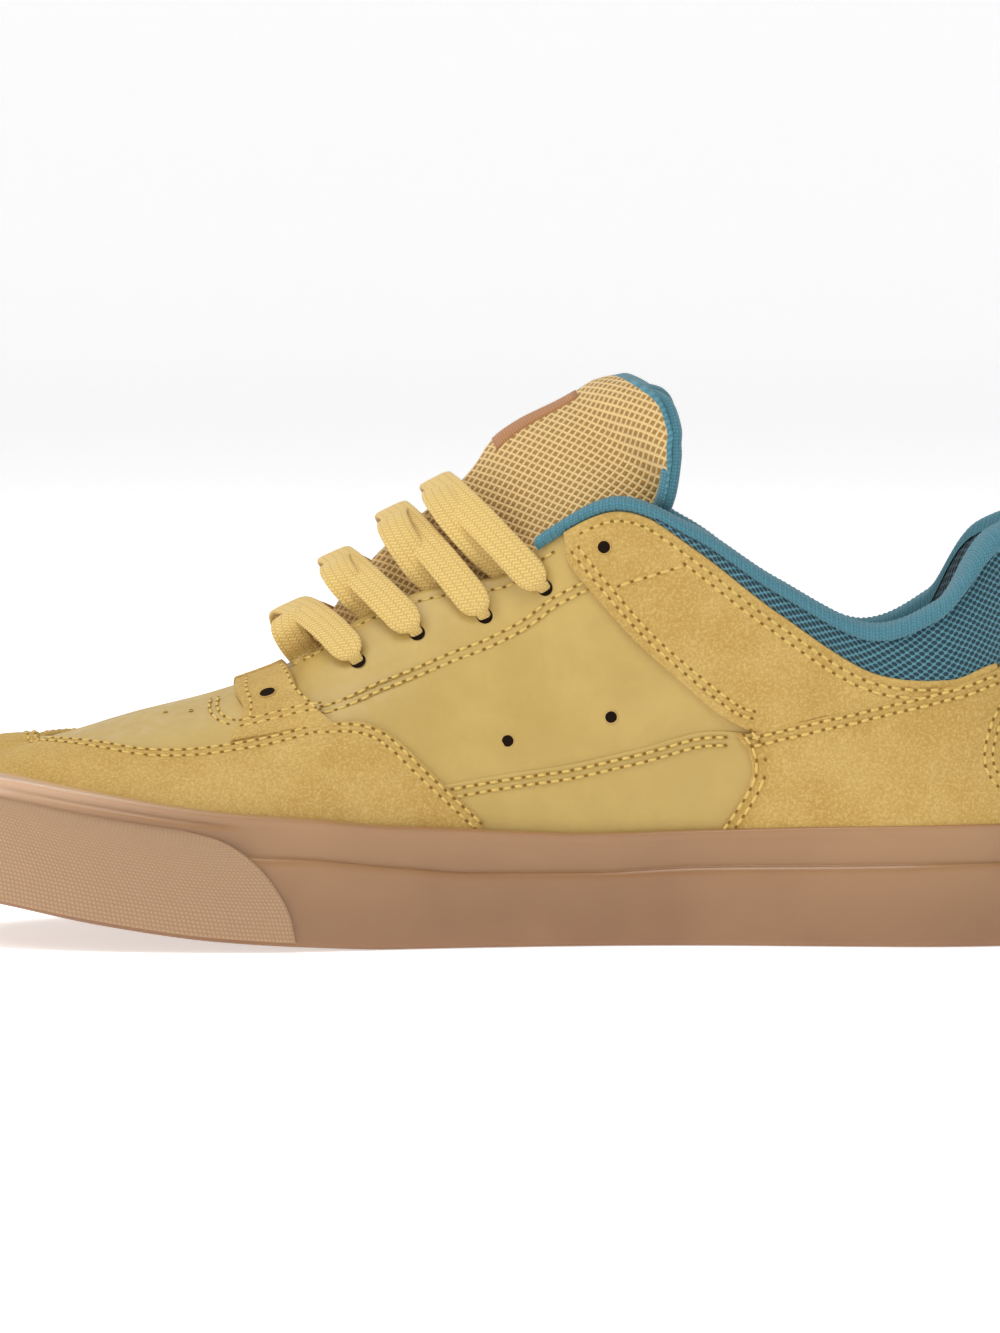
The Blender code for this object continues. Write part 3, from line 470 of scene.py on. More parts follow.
class Look:
    """A material made of procedural nodes round one Principled shader."""

    def __init__(self, name, colour, roughness, **finish):
        self.material = bpy.data.materials.new(name)
        self.material.use_nodes = True
        self.tree = self.material.node_tree
        self.shader = self.tree.nodes["Principled BSDF"]
        self.place = self.add("TexCoord", out="Object")
        self.metres = self.add("TexCoord", out="UV")
        self.set(Base_Color=(*colour, 1.0), Roughness=roughness, **finish)

    def set(self, **inputs):
        for key, value in inputs.items():
            self.plug(self.shader.inputs[key.replace("_", " ")], value)

    def plug(self, socket, value):
        if isinstance(value, bpy.types.NodeSocket):
            self.tree.links.new(value, socket)
        else:
            socket.default_value = value

    def add(self, kind, *values, out=0, settings=None, **inputs):
        node = self.tree.nodes.new("ShaderNode" + kind)
        for key, value in (settings or {}).items():
            setattr(node, key, value)
        for socket, value in zip(node.inputs, values):
            if value is not None:
                self.plug(socket, value)
        for key, value in inputs.items():
            self.plug(node.inputs[key.replace("_", " ")], value)
        return node.outputs[out]

    def math(self, operation, *values):
        return self.add("Math", *values, settings={"operation": operation})

    def vector(self, operation, *values, out=0):
        return self.add("VectorMath", *values, settings={"operation": operation}, out=out)

    def noise(self, scale, detail=3.0, roughness=0.5):
        return self.add("TexNoise", Vector=self.place, Scale=scale, Detail=detail, Roughness=roughness)

    def cells(self, scale):
        return self.add("TexVoronoi", Vector=self.place, Scale=scale, out="Distance")

    def span(self, value, low, high, to_low=0.0, to_high=1.0):
        return self.add("MapRange", value, low, high, to_low, to_high,
                        settings={"interpolation_type": "SMOOTHSTEP"})

    def mix(self, share, first, second):
        node = self.tree.nodes.new("ShaderNodeMix")
        node.data_type = "RGBA"
        self.plug(node.inputs[0], share)
        for index, value in ((6, first), (7, second)):
            self.plug(node.inputs[index], (*value, 1.0) if isinstance(value, tuple) else value)
        return node.outputs[2]

    def bump(self, height, distance, strength=1.0, normal=None):
        socket = self.add("Bump", Height=height, Distance=distance, Strength=strength)
        if normal is not None:
            self.plug(socket.node.inputs["Normal"], normal)
        return socket

    def lattice(self, pitch_u, pitch_w, turned=False):
        """Distance from the middle of the nearest hole of an open mesh, in pitches."""
        spot = self.vector("MULTIPLY", self.metres, (1.0 / pitch_u, 1.0 / pitch_w, 0.0))
        both = []
        for shift in ((0.0, 0.0, 0.0), (0.5, 0.5, 0.0)):
            cell = self.vector("FRACTION", self.vector("ADD", spot, shift))
            centred = self.vector("SUBTRACT", cell, (0.5, 0.5, 0.0))
            apart = self.vector("MULTIPLY", centred, (1.0, 1.0, 0.0))
            if turned:
                both.append(self.math("ADD", *self.parts(self.vector("ABSOLUTE", apart))[:2]))
            else:
                both.append(self.vector("LENGTH", apart, out="Value"))
        return self.math("MINIMUM", *both)

    def parts(self, value):
        """The three parts of a vector."""
        return list(self.add("SeparateXYZ", value).node.outputs)

    def wave(self, value, pitch):
        """Sine of a length, one turn for each pitch, from 0 to 1."""
        turn = self.math("SINE", self.math("MULTIPLY", value, 2 * math.pi / pitch))
        return self.math("MULTIPLY_ADD", turn, 0.5, 0.5)


def tone(red, green, blue):
    """Colour for the shader from its value on a screen, 0 to 255."""
    return tuple((value / 255.0) ** 2.2 for value in (red, green, blue))


def darker(colour, share):
    return tuple(share * part for part in colour)


def leather_look():
    look = Look("golden_leather", tone(203, 172, 98), 0.50, Coat_Weight=0.06, Coat_Roughness=0.35)
    patch_tone = look.span(look.noise(38.0, 4.0, 0.6), 0.35, 0.68)
    look.set(Base_Color=look.mix(patch_tone, tone(184, 154, 84), tone(193, 163, 92)))
    look.set(Roughness=look.span(look.noise(300.0, 2.0), 0.3, 0.7, 0.42, 0.56))
    grain = look.math("ADD", look.math("MULTIPLY", look.cells(1100.0), 0.7), look.noise(2600.0, 2.0))
    soft = look.bump(look.noise(70.0, 2.0), 0.0011, 0.28)
    look.set(Normal=look.bump(grain, 0.00012, 0.30, soft))
    return look.material


def suede_look():
    look = Look("golden_suede", tone(214, 178, 96), 0.92, Sheen_Weight=0.35, Sheen_Roughness=0.45)
    look.shader.inputs["Sheen Tint"].default_value = (*tone(240, 214, 150), 1.0)
    brushed = look.noise(60.0, 4.0, 0.5)
    nap = look.noise(1500.0, 4.0, 0.65)
    hairs = look.noise(4200.0, 3.0, 0.7)
    base = look.mix(look.span(brushed, 0.36, 0.66), tone(184, 148, 78), tone(196, 162, 93))
    for fibres, low, high, share, colour in ((nap, 0.45, 0.68, 0.55, tone(218, 188, 120)),
                                             (nap, 0.50, 0.34, 0.45, tone(178, 138, 66)),
                                             (hairs, 0.50, 0.34, 0.30, tone(176, 136, 62))):
        base = look.mix(look.math("MULTIPLY", look.span(fibres, low, high), share), base, colour)
    look.set(Base_Color=base)
    height = look.math("ADD", look.math("MULTIPLY", nap, 0.8), look.math("MULTIPLY", hairs, 0.6))
    look.set(Normal=look.bump(height, 0.00035, 0.55))
    return look.material


WEAVE_PITCH = 0.00107     # pitch of the pattern on the toe bumper
CHEVRON = 0.0010          # width of a column of the lace's weave
LIP_PAINTED_HIGHLIGHT = 0.031, 0.044  # heights between which the sole's side turns to the paler lip, a painted highlight
TONGUE_HEM_WIDTH = 0.0015    # knit band along the tongue's free edge


def rubber_look(name, light, dark, roughness, weave=False):
    """Gum rubber: a smooth side, darker towards the ground and with a paler painted highlight at the lip,
    or a woven pattern.
    """
    look = Look(name, light, roughness, Subsurface_Weight=0.08, Subsurface_Scale=0.004,
                Coat_Weight=0.0 if weave else 0.30, Coat_Roughness=0.2)
    look.shader.inputs["Subsurface Radius"].default_value = (1.0, 0.5, 0.25)
    fine = look.bump(look.noise(1500.0, 3.0), 0.00008, 0.25)
    if weave:
        rows = [look.span(look.wave(part, WEAVE_PITCH), 0.15, 0.6)
                for part in look.parts(look.metres)[:2]]
        pattern = look.math("MULTIPLY", *rows)
        fine = look.bump(pattern, 0.00022, 0.7, fine)
        look.set(Base_Color=look.mix(look.math("MULTIPLY_ADD", pattern, 0.5, 0.45), dark, light))
    else:
        cloud = look.span(look.noise(22.0, 3.0), 0.3, 0.7)
        height = look.parts(look.place)[2]
        low = look.span(height, 0.004, 0.034)
        share = look.math("MULTIPLY_ADD", cloud, 0.35, look.math("MULTIPLY", low, 0.6))
        side = look.mix(share, dark, light)
        # paler tone high on the side at the toe: a painted highlight along the lip
        look.set(Base_Color=look.mix(look.span(height, *LIP_PAINTED_HIGHLIGHT), side, tone(204, 166, 134)),
                 Roughness=look.span(height, 0.034, 0.044, roughness, 0.26))
    look.set(Normal=fine)
    return look.material


def mesh_look(name, strand, gap, pitch_u, pitch_w, turned, hole=0.30, soft=0.06, band=None):
    """Open knit mesh: strands round holes that show the dark foam behind.

    band: colour of a knit band where the mesh carries an attribute called hem."""
    look = Look(name, strand, 0.85, Sheen_Weight=0.2, Sheen_Roughness=0.5)
    apart = look.lattice(pitch_u, pitch_w, turned)
    open_share = look.span(apart, hole + soft, hole - soft)
    fibre = look.noise(5200.0, 2.0)
    lit = look.mix(look.span(fibre, 0.35, 0.65), darker(strand, 0.80), strand)
    colour = look.mix(open_share, lit, gap)
    height = look.math("MULTIPLY_ADD", fibre, 0.12, look.span(apart, hole - 0.12, hole + 0.16))
    if band is not None:
        hem = look.add("Attribute", settings={"attribute_name": "hem"}, out=2)
        ribs = look.wave(look.vector("DOT_PRODUCT", look.place, (0.6, 0.3, 0.8), out="Value"), 0.0013)
        knit = look.mix(look.math("MULTIPLY_ADD", ribs, 0.7, look.math("MULTIPLY", fibre, 0.3)),
                        darker(band, 0.62), band)
        inside = look.span(hem, TONGUE_HEM_WIDTH - 0.00015, TONGUE_HEM_WIDTH + 0.00015)
        colour = look.mix(inside, knit, colour)
        height = look.math("ADD", look.math("MULTIPLY", height, inside),
                           look.math("MULTIPLY", ribs, look.math("SUBTRACT", 1.0, inside)))
    look.set(Base_Color=colour, Normal=look.bump(height, 0.00045, 0.9))
    return look.material


def cloth_look(name, colour, pitch):
    """Plain cloth with fine threads."""
    look = Look(name, colour, 0.9, Sheen_Weight=0.25, Sheen_Roughness=0.5)
    threads = look.math("MULTIPLY", *(look.wave(part, pitch) for part in look.parts(look.metres)[:2]))
    height = look.math("ADD", threads, look.noise(3800.0, 3.0))
    look.set(Base_Color=look.mix(look.span(height, 0.3, 1.2), darker(colour, 0.62), colour),
             Normal=look.bump(height, 0.00020, 0.7))
    return look.material


def lace_look():
    """Columns of chevrons along the lace."""
    look = Look("woven_lace", tone(212, 184, 112), 0.80, Sheen_Weight=0.2, Sheen_Roughness=0.5)
    along, across = look.parts(look.metres)[:2]
    slant = look.math("PINGPONG", across, CHEVRON)
    chevron = look.wave(look.math("ADD", along, look.math("MULTIPLY", slant, 0.9)), 1.05 * CHEVRON)
    between = look.math("PINGPONG", look.math("ADD", across, CHEVRON / 2), CHEVRON)
    ridges = look.math("MULTIPLY", chevron, look.span(between, 0.0, CHEVRON / 4))
    height = look.math("ADD", ridges, look.math("MULTIPLY", look.noise(4200.0, 2.0), 0.2))
    look.set(Base_Color=look.mix(look.span(height, 0.05, 0.8), tone(202, 167, 92), tone(230, 197, 120)))
    look.set(Normal=look.bump(height, 0.00028, 0.6))
    return look.material


def plain_look(name, colour, roughness):
    look = Look(name, colour, roughness, Specular_IOR_Level=0.15)
    look.set(Base_Color=look.mix(look.span(look.noise(2600.0, 3.0), 0.3, 0.7),
                                 darker(colour, 0.8), colour))
    return look.material


LEATHER = leather_look()
SUEDE = suede_look()
GUM = rubber_look("gum_rubber_side", tone(166, 126, 87), tone(134, 95, 62), 0.38)
WEAVE = rubber_look("gum_rubber_woven", tone(184, 150, 117), tone(144, 108, 76), 0.62, weave=True)
TEAL_MESH = mesh_look("teal_open_mesh", tone(92, 150, 166), tone(24, 56, 66), 0.0024, 0.0018, False)
LINING = mesh_look("teal_lining_mesh", tone(66, 104, 116), tone(22, 44, 52), 0.0026, 0.0019, False)
KNIT = cloth_look("teal_binding_knit", tone(82, 140, 156), 0.0009)
TAN_MESH = mesh_look("tan_open_mesh", tone(240, 204, 138), tone(160, 120, 58), 0.0026, 0.0025, True,
                     0.31, 0.10, band=tone(86, 146, 162))
LACE_CLOTH = lace_look()
THREAD = plain_look("sewing_thread", tone(224, 192, 112), 0.70)
# brown discs of painted shade in the needle holes between stitches
NEEDLE_SHADE = plain_look("needle_hole_shade", tone(138, 104, 50), 0.95)
# painted shade for the inside of punched holes and of the lace holes beside the laces
HOLE_SHADE = plain_look("punched_hole_shade", tone(34, 22, 14), 0.95)
FOOTBED_CLOTH = cloth_look("footbed_cloth", tone(52, 66, 72), 0.0012)
LABEL_CLOTH = cloth_look("plain_woven_label", tone(190, 132, 84), 0.0007)


# Lines on the upper

Spot = namedtuple("Spot", "g v point along up")


def on_side(places, side):
    """(g, v) places of a line of the inner side, turned to the outer side where side is -1."""
    return [(g if side > 0 else 2 * LAST - g, v) for g, v in places]


def dense(places, count=20):
    """A smooth curve through pairs of values, such as (g, v) places."""
    full = [places[0]] + list(places) + [places[-1]]
    line = []
    for i in range(1, len(full) - 2):
        for k in range(count):
            line.append(tuple(catmull(*(full[i + j][c] for j in (-1, 0, 1, 2)), k / count)
                              for c in (0, 1)))
    return line + [places[-1]]


def moved(g, v, offset):
    """The (g, v) of a point at a small offset along the surface."""
    step_g, step_v = 0.02, 0.01
    by_g = (surface(g + step_g, v) - surface(g - step_g, v)) / (2 * step_g)
    by_v = (surface(g, v + step_v) - surface(g, v - step_v)) / (2 * step_v)
    a, b, c = by_g.dot(by_g), by_g.dot(by_v), by_v.dot(by_v)
    p, q = by_g.dot(offset), by_v.dot(offset)
    scale = max(a * c - b * b, 1e-12)
    along, up = (c * p - b * q) / scale, (a * q - b * p) / scale
    if abs(along) > 0.4:
        along, up = 0.0, q / c
    return g + along, v + min(max(up, -0.2), 0.2)


def walk(places, out, pitch, aside):
    """Evenly spaced spots along a line, moved aside to its left as seen from outside."""
    line = dense(places)
    points = [skin(g, v, out) for g, v in line]
    total = lengths(points)
    count = max(int(total[-1] / pitch), 2)
    spots, i = [], 0
    for k in range(count + 1):
        want = total[-1] * k / count
        while i < len(total) - 2 and total[i + 1] < want:
            i += 1
        f = (want - total[i]) / max(total[i + 1] - total[i], 1e-9)
        g, v = (line[i][c] + (line[i + 1][c] - line[i][c]) * f for c in (0, 1))
        point = skin(g, v, out)
        along = (points[i + 1] - points[i]).normalized()
        up = facing(g, v, out)
        if aside:
            g, v = moved(g, v, up.cross(along) * aside)
            point = skin(g, v, out)
        spots.append(Spot(g, v, point, along, up))
    return spots


STITCH = 0.0030           # pitch of the stitches
THREAD_WIDTH, THREAD_HEIGHT = 0.00085, 0.00066
NEEDLE_GAP = 0.0008       # between two stitches
# radius of the painted shade at each needle hole
NEEDLE_SHADE_RADIUS = 0.00038
stitches, needle_shades = bmesh.new(), bmesh.new()


def capsule(bm, middle, along, up, length, width, height):
    across = up.cross(along).normalized()
    rings = []
    for shift, size in ((-0.5, 0.25), (-0.36, 0.85), (0.0, 1.0), (0.36, 0.85), (0.5, 0.25)):
        centre = middle + along * length * shift - up * height * 0.5 * (1.0 - size)
        wide, tall = across * width / 2 * size, up * height / 2 * size
        rings.append([centre + wide * math.cos(a) + tall * math.sin(a) for a in turns(6)])
    tube(bm, rings)


def disc(bm, middle, up, radius, stretch=1.0, along=None, count=8, look=0):
    along = along or up.orthogonal().normalized()
    across = up.cross(along).normalized()
    ring = [middle + along * math.cos(a) * radius * stretch + across * math.sin(a) * radius
            for a in turns(count)]
    face = bm.faces.new([bm.verts.new(point) for point in ring])
    face.material_index = look


def sew(places, out, *rows):
    """Rows of stitches on both sides, each at a distance to the left of a line of the inner side, with a
    disc of painted shade at each needle hole.
    """
    for side in (1, -1):
        for row in rows:
            spots = walk(on_side(places, side), out, STITCH, row * side)
            for a, b in zip(spots, spots[1:]):
                middle = (a.point + b.point) / 2
                reach = b.point - a.point
                if reach.length > 1.5 * STITCH:
                    continue
                capsule(stitches, middle - a.up * 0.00002, reach.normalized(), a.up,
                        reach.length - NEEDLE_GAP, THREAD_WIDTH, THREAD_HEIGHT)
            for spot in spots:
                # disc of painted shade at each needle hole
                disc(needle_shades, spot.point + spot.up * 0.00007, spot.up, NEEDLE_SHADE_RADIUS, 1.35, spot.along)


# Upper

UPPER_COLUMNS = 9         # columns in each bay between sections
UPPER_FINE = 46           # rows from the feather line to the edge
TIP_SECTION, TIP_V = 0.8, 0.86    # the toe's tip, where the wall's direction is taken lower down
Crease = namedtuple("Crease", "g0 v0 g1 v1 depth width")
# Soft troughs and ridges of worn leather: from (g0, v0) to (g1, v1), depth and width in metres.
CREASES = (Crease(6.0, 0.62, 7.9, 0.72, 0.00035, 0.0060), Crease(5.3, 0.98, 5.0, 0.66, 0.00045, 0.0050),
           Crease(5.9, 0.60, 6.6, 0.60, -0.00030, 0.0070), Crease(8.2, 0.55, 10.2, 0.62, 0.00028, 0.0090),
           Crease(8.6, 0.30, 10.8, 0.30, 0.00025, 0.0070), Crease(4.3, 0.95, 4.4, 0.66, 0.00030, 0.0060),
           Crease(7.4, 0.45, 9.6, 0.42, -0.00025, 0.0100), Crease(10.2, 0.50, 11.0, 0.70, 0.00025, 0.0060))
CREASE_STEPS = 12
crease_lines = []
for crease in CREASES:
    for side in (1, -1):
        (g0, v0), (g1, v1) = on_side(((crease.g0, crease.v0), (crease.g1, crease.v1)), side)
        shares = [k / CREASE_STEPS for k in range(CREASE_STEPS + 1)]
        crease_lines.append((crease, [surface(g0 + (g1 - g0) * f, v0 + (v1 - v0) * f) for f in shares]))


def relief(point):
    """Depth of the leather's soft creases and unevenness at a point of the upper."""
    total = 0.00022 * noise.noise(point * 38.0) + 0.00008 * noise.noise(point * 140.0)
    for crease, spots in crease_lines:
        near = min(range(CREASE_STEPS + 1), key=lambda k: (point - spots[k]).length_squared)
        apart = (point - spots[near]).length
        if apart < 2.5 * crease.width:
            fade = math.sin(math.pi * min(max(near / CREASE_STEPS, 0.06), 0.94))
            total -= crease.depth * hump(apart, 0.0, crease.width) * fade
    return total


def upper_wall(g, v):
    """Points on the outside and the inside of the upper."""
    point = surface(g, v)
    fade = ease(v, 0.15, 0.3) * ease(v, 1.0, 0.93)
    near = min(v, TIP_V) if fold(g) < TIP_SECTION else v
    return (skin(g, v, relief(point) * fade) if fade > 0.0 else point,
            point + skin(g, near, -UPPER_WALL) - surface(g, near))


def build_upper():
    columns = [k / UPPER_COLUMNS for k in range(2 * LAST * UPPER_COLUMNS)]
    rows = [k / UPPER_FINE for k in range(UPPER_FINE + 1)]
    shell("upper_leather", *grids(columns, rows, upper_wall), [LEATHER, LINING], "upper", closed=True)


# Distances of the first rows from a cut edge
NEAR_EDGE = (0.0, 0.00008, 0.00025, 0.0005, 0.0009, 0.0013, 0.0018, 0.0023, 0.0028, 0.0034, 0.0042)
EDGE_RADIUS = 0.0006      # rounding of a cut edge
SEAM_DEPTH = 0.00022      # how far a row of stitches pulls the suede in
SEAM_WIDTH = 0.0006
SUEDE_UNEVEN = 0.00012
OVERLAY_STEP = 0.0018     # mesh of an overlay away from its edges


def spread(length, step):
    """Shares of a length, close together at both ends."""
    near = [min(d, 0.45 * length * d / NEAR_EDGE[-1]) for d in NEAR_EDGE]
    middle = max(int((length - 2 * near[-1]) / step), 1)
    inside = [near[-1] + (length - 2 * near[-1]) * k / middle for k in range(1, middle)]
    return [d / length for d in near + inside + [length - d for d in reversed(near)]]


def rounded(f):
    """Height of a rounded edge, 0 to 1, at a share f of its radius from the cut."""
    return math.sqrt(max(1.0 - (1.0 - f) ** 2, 0.0))


def overlay(name, start, end, low, high, base, thickness, look, node=None, rows_low=(), rows_high=(),
            rows_start=(), rows_end=(), swell=0.0):
    """Fine overlay with rounded edges, pulled in along its rows of stitches."""
    first, last = start(0.5), end(0.5)
    spots = [first + (last - first) * k / 60 for k in range(61)]
    length = lengths([surface(g, (low(g) + high(g)) / 2) for g in spots])[-1]

    def height(g):
        return (surface(g, high(g)) - surface(g, low(g))).length

    def wall(share, q):
        g = start(q) + (end(q) - start(q)) * share
        tall = height(g)
        v = low(g) + (high(g) - low(g)) * q
        marks = ((q * tall, rows_low), ((1 - q) * tall, rows_high), (share * length, rows_start),
                 ((1 - share) * length, rows_end))
        f = min(min(place for place, rows in marks) / EDGE_RADIUS, 1.0)
        out = thickness * rounded(f) + swell * math.sin(math.pi * q) ** 0.7
        for place, rows in marks:
            out -= sum(SEAM_DEPTH * hump(place, row, SEAM_WIDTH) * f for row in rows)
        out += SUEDE_UNEVEN * noise.noise(surface(g, v) * 90.0) * f
        return skin(g, v, base + out), skin(g, v, base)

    heights = spread(max(height(g) for g in spots), OVERLAY_STEP)
    return shell(name, *grids(spread(length, OVERLAY_STEP), heights, wall), [look], node)


def mirrored(place):
    return lambda q: 2 * LAST - place(q)


def heel_front(q):
    return table_value(HEEL_FRONT, "share", q)


EYESTAY_END = 15.7        # section at which the eyestay's suede ends under the heel's
TAB_EDGES = (0.535, 0.950)    # v of the lace tab's low and high edge
QUARTER_ENDS = (7.35, 12.1)
# Edge of the quarter's lower panel, and of the collar's mesh
QUARTER_LOW = edge_rows(
    (7.30, 0.325), (7.55, 0.330), (8.72, 0.360), (10.21, 0.378), (11.75, 0.432), (12.2, 0.45))
PANEL_LOW = edge_rows(
    (11.4, 0.985), (12.1, 0.950), (13.0, 0.905), (13.5, 0.868), (13.9, 0.832), (14.3, 0.792),
    (14.7, 0.755), (15.3, 0.715), (15.7, 0.676), (16.5, 0.652), (18.0, 0.647))
ON_SUEDE = OVERLAY_GAP + OVERLAY
ON_HEEL = ON_SUEDE + 0.0003          # the heel's suede overlaps the eyestay's
ON_TAB = SOFT_GAP + TAB - 0.0003
ON_PANEL, ON_LEATHER = 0.0008, 0.0001
TUCK = 0.028              # how far the eyestay's suede goes under the heel's, in v
PANEL_SWELL = 0.0016      # foam under the collar's mesh
PANEL_START, PANEL_TOP = 11.5, 0.992   # the mesh's front end, and its v under the binding


def eyestay_low(g):
    near = fold(g)
    low = edge(EYESTAY_LOW, g) - TUCK * ease(near, 11.6, 12.1)
    return low + (edge(HEEL_EDGE, g) - TUCK - low) * ease(near, 14.3, 14.8)


def tab_front(q):
    """Front edge of the lace tab, from its low edge up."""
    return 4.47 + 0.12 * hump(q, 0.35, 0.25)


def tab_back(q):
    return 6.15 - 0.70 * ease(q, 0.0, 0.4) - 0.25 * q


def in_cup(g):
    """Low edge of an overlay that goes down inside the sole's cup."""
    return cup_edge(g, -0.004)


def build_overlays():
    reach = TOE_EDGE[-1].station - NEAR_COLUMN
    overlay("toe_overlay_suede", lambda q: -reach, lambda q: reach, in_cup, lambda g: edge(TOE_EDGE, g),
            0.0, ON_SUEDE, SUEDE, "toe_overlay", rows_high=(0.0010, 0.0030))
    overlay("heel_overlay_suede", heel_front, mirrored(heel_front), lambda g: cup_edge(g, -0.0022),
            lambda g: edge(HEEL_EDGE, g), 0.0, ON_HEEL, SUEDE, "heel_overlay",
            rows_high=(0.0012, 0.0032), rows_start=(0.0016, 0.0038), rows_end=(0.0016, 0.0038))
    collar = overlay("collar_panel_mesh", lambda q: PANEL_START, lambda q: 2 * LAST - PANEL_START,
                     lambda g: edge(PANEL_LOW, g), lambda g: PANEL_TOP, 0.0, 0.0005, TEAL_MESH,
                     swell=PANEL_SWELL)
    for side, turn in (("inner", lambda place: place), ("outer", mirrored)):
        ends = [turn(lambda q: EYESTAY_LOW[0].station + NEAR_COLUMN), turn(lambda q: EYESTAY_END)]
        tabs = [turn(tab_front), turn(tab_back)]
        quarter = [turn(lambda q: QUARTER_ENDS[0]), turn(lambda q: QUARTER_ENDS[1])]
        if side == "outer":
            for pair in (ends, tabs, quarter):
                pair.reverse()
        overlay("eyestay_suede_" + side, *ends, eyestay_low,
                lambda g: edge(EYESTAY_HIGH, g), 0.0, ON_SUEDE, SUEDE, "eyestay_overlay_" + side,
                rows_low=(0.0024, 0.0044), rows_high=(0.0022,))
        overlay("lace_tab_suede_" + side, *tabs, lambda g: TAB_EDGES[0], lambda g: TAB_EDGES[1],
                0.0, ON_TAB, SUEDE, "lace_tab_" + side)
        overlay("quarter_panel_" + side, *quarter, in_cup, lambda g: edge(QUARTER_LOW, g), -0.0002, 0.0009,
                LEATHER, rows_high=(0.0016, 0.0036))


def rows_of(table, first, last):
    return [(g, edge(table, g)) for g in [first + (last - first) * k / 14 for k in range(15)]]


def heel_front_line():
    """Places up the heel overlay's front edge, from the sole to its top."""
    line = []
    for q in (0.03, 0.2, 0.4, 0.6, 0.8, 0.95):
        g = heel_front(q)
        line.append((g, cup_edge(g) + (edge(HEEL_EDGE, g) - cup_edge(g)) * q))
    return line


# Seams that follow no edge: height over the upper, distances of the rows, and places (g, v).
SEAMS = (
    (ON_SUEDE, (0.0,), ((10.82, 0.776), (11.1, 0.790), (11.3, 0.808), (11.5, 0.834), (11.7, 0.864),
                        (11.86, 0.892))),
    (ON_LEATHER, (0.0,), ((5.75, 0.945), (6.6, 0.945), (7.6, 0.945), (8.6, 0.945), (9.6, 0.945),
                          (10.05, 0.945))),
    (ON_LEATHER, (0.0, -0.0021), ((5.89, 0.635), (6.69, 0.650), (7.55, 0.682), (8.30, 0.733),
                                  (9.08, 0.797), (10.12, 0.812), (10.42, 0.815))),
    (ON_TAB, (0.0,), ((4.62, 0.915), (4.62, 0.80), (4.68, 0.70), (4.68, 0.62))),
    (ON_TAB, (0.0,), ((5.13, 0.915), (5.22, 0.80), (5.34, 0.70), (5.75, 0.61))),
    (ON_TAB, (0.0, 0.0020), ((4.60, 0.590), (5.20, 0.595), (5.85, 0.605))),
    (ON_LEATHER, (0.0, -0.0020), ((4.30, 0.86), (4.30, 0.78), (4.38, 0.70), (4.50, 0.655))),
    (ON_HEEL, (0.0, 0.0021), ((16.1, 0.61), (15.45, 0.57), (15.11, 0.48), (15.11, 0.39), (15.45, 0.30),
                              (16.05, 0.26))))


def build_stitches():
    sew(rows_of(TOE_EDGE, 0.3, 7.95), ON_SUEDE, -0.0011, -0.0031)
    sew(rows_of(HEEL_EDGE, 11.95, 15.6), ON_HEEL, -0.0013, -0.0033)
    sew(heel_front_line(), ON_HEEL, -0.0017, -0.0038)
    low = [place for place in EYESTAY_LOW if place.station < 12.0]
    sew([(10.22, 0.90)] + low[1:] + [(11.98, 0.455)], ON_SUEDE, 0.0025, 0.0045)
    sew(rows_of(EYESTAY_HIGH, 10.45, 15.2), ON_SUEDE, -0.0026)
    sew(rows_of(EYESTAY_HIGH, 12.0, 14.8), ON_SUEDE, -0.0047)
    sew(rows_of(QUARTER_LOW, 7.62, 11.6), ON_PANEL, -0.0016, -0.0036)
    for out, rows, places in SEAMS:
        sew(places, out, *rows)
    finish_piece("stitching", stitches, [THREAD], merge=0)
    finish_piece("needle_hole_shades", needle_shades, [NEEDLE_SHADE], merge=0)


# Holes that no lace fills on both sides: place, height over the upper and radius. Each shows a disc of
# painted shade for its inside.
PUNCHED = (((HOLES[0].section, HOLES[0].v - 0.060), ON_TAB, 0.0021),
           ((HOLES[-1].section, HOLES[-1].v), ON_SUEDE, 0.0017),
           ((3.65, 0.838), 0.0, 0.0005), ((4.02, 0.795), 0.0, 0.0005))
VENTS, VENT_RADIUS = ((8.43, 0.440), (10.03, 0.464)), 0.0016
RIM = 0.00018             # radius of the pressed rim


def build_holes():
    """Open lace holes with a pressed rim, two vents on the inner side, pinholes on the vamp, each with a
    disc of painted shade for its inside.
    """
    bm = bmesh.new()
    marks = [(g, v, out, radius) for side in (1, -1) for place, out, radius in PUNCHED
             for g, v in on_side([place], side)]
    marks += [(g, v, 0.0, VENT_RADIUS) for g, v in VENTS]
    for g, v, out, radius in marks:
        middle = skin(g, v, out)
        up = facing(g, v, out)
        # disc of painted shade where the hole's open inside would be
        disc(bm, middle + up * 0.00022, up, radius, count=20)
        along = up.orthogonal().normalized()
        across = up.cross(along)
        rings = []
        for a in turns(20) + [2 * math.pi]:
            ray = along * math.cos(a) + across * math.sin(a)
            rings.append([middle + ray * (radius + RIM * math.cos(b)) + up * (0.00012 + RIM * math.sin(b))
                          for b in turns(6)])
        tube(bm, rings, 1 if out == 0.0 else 2, ends=False)
    finish_piece("punched_holes", bm, [HOLE_SHADE, LEATHER, SUEDE], merge=0)


# Sole

SOLE_COLUMNS = 9          # columns in each bay between sections
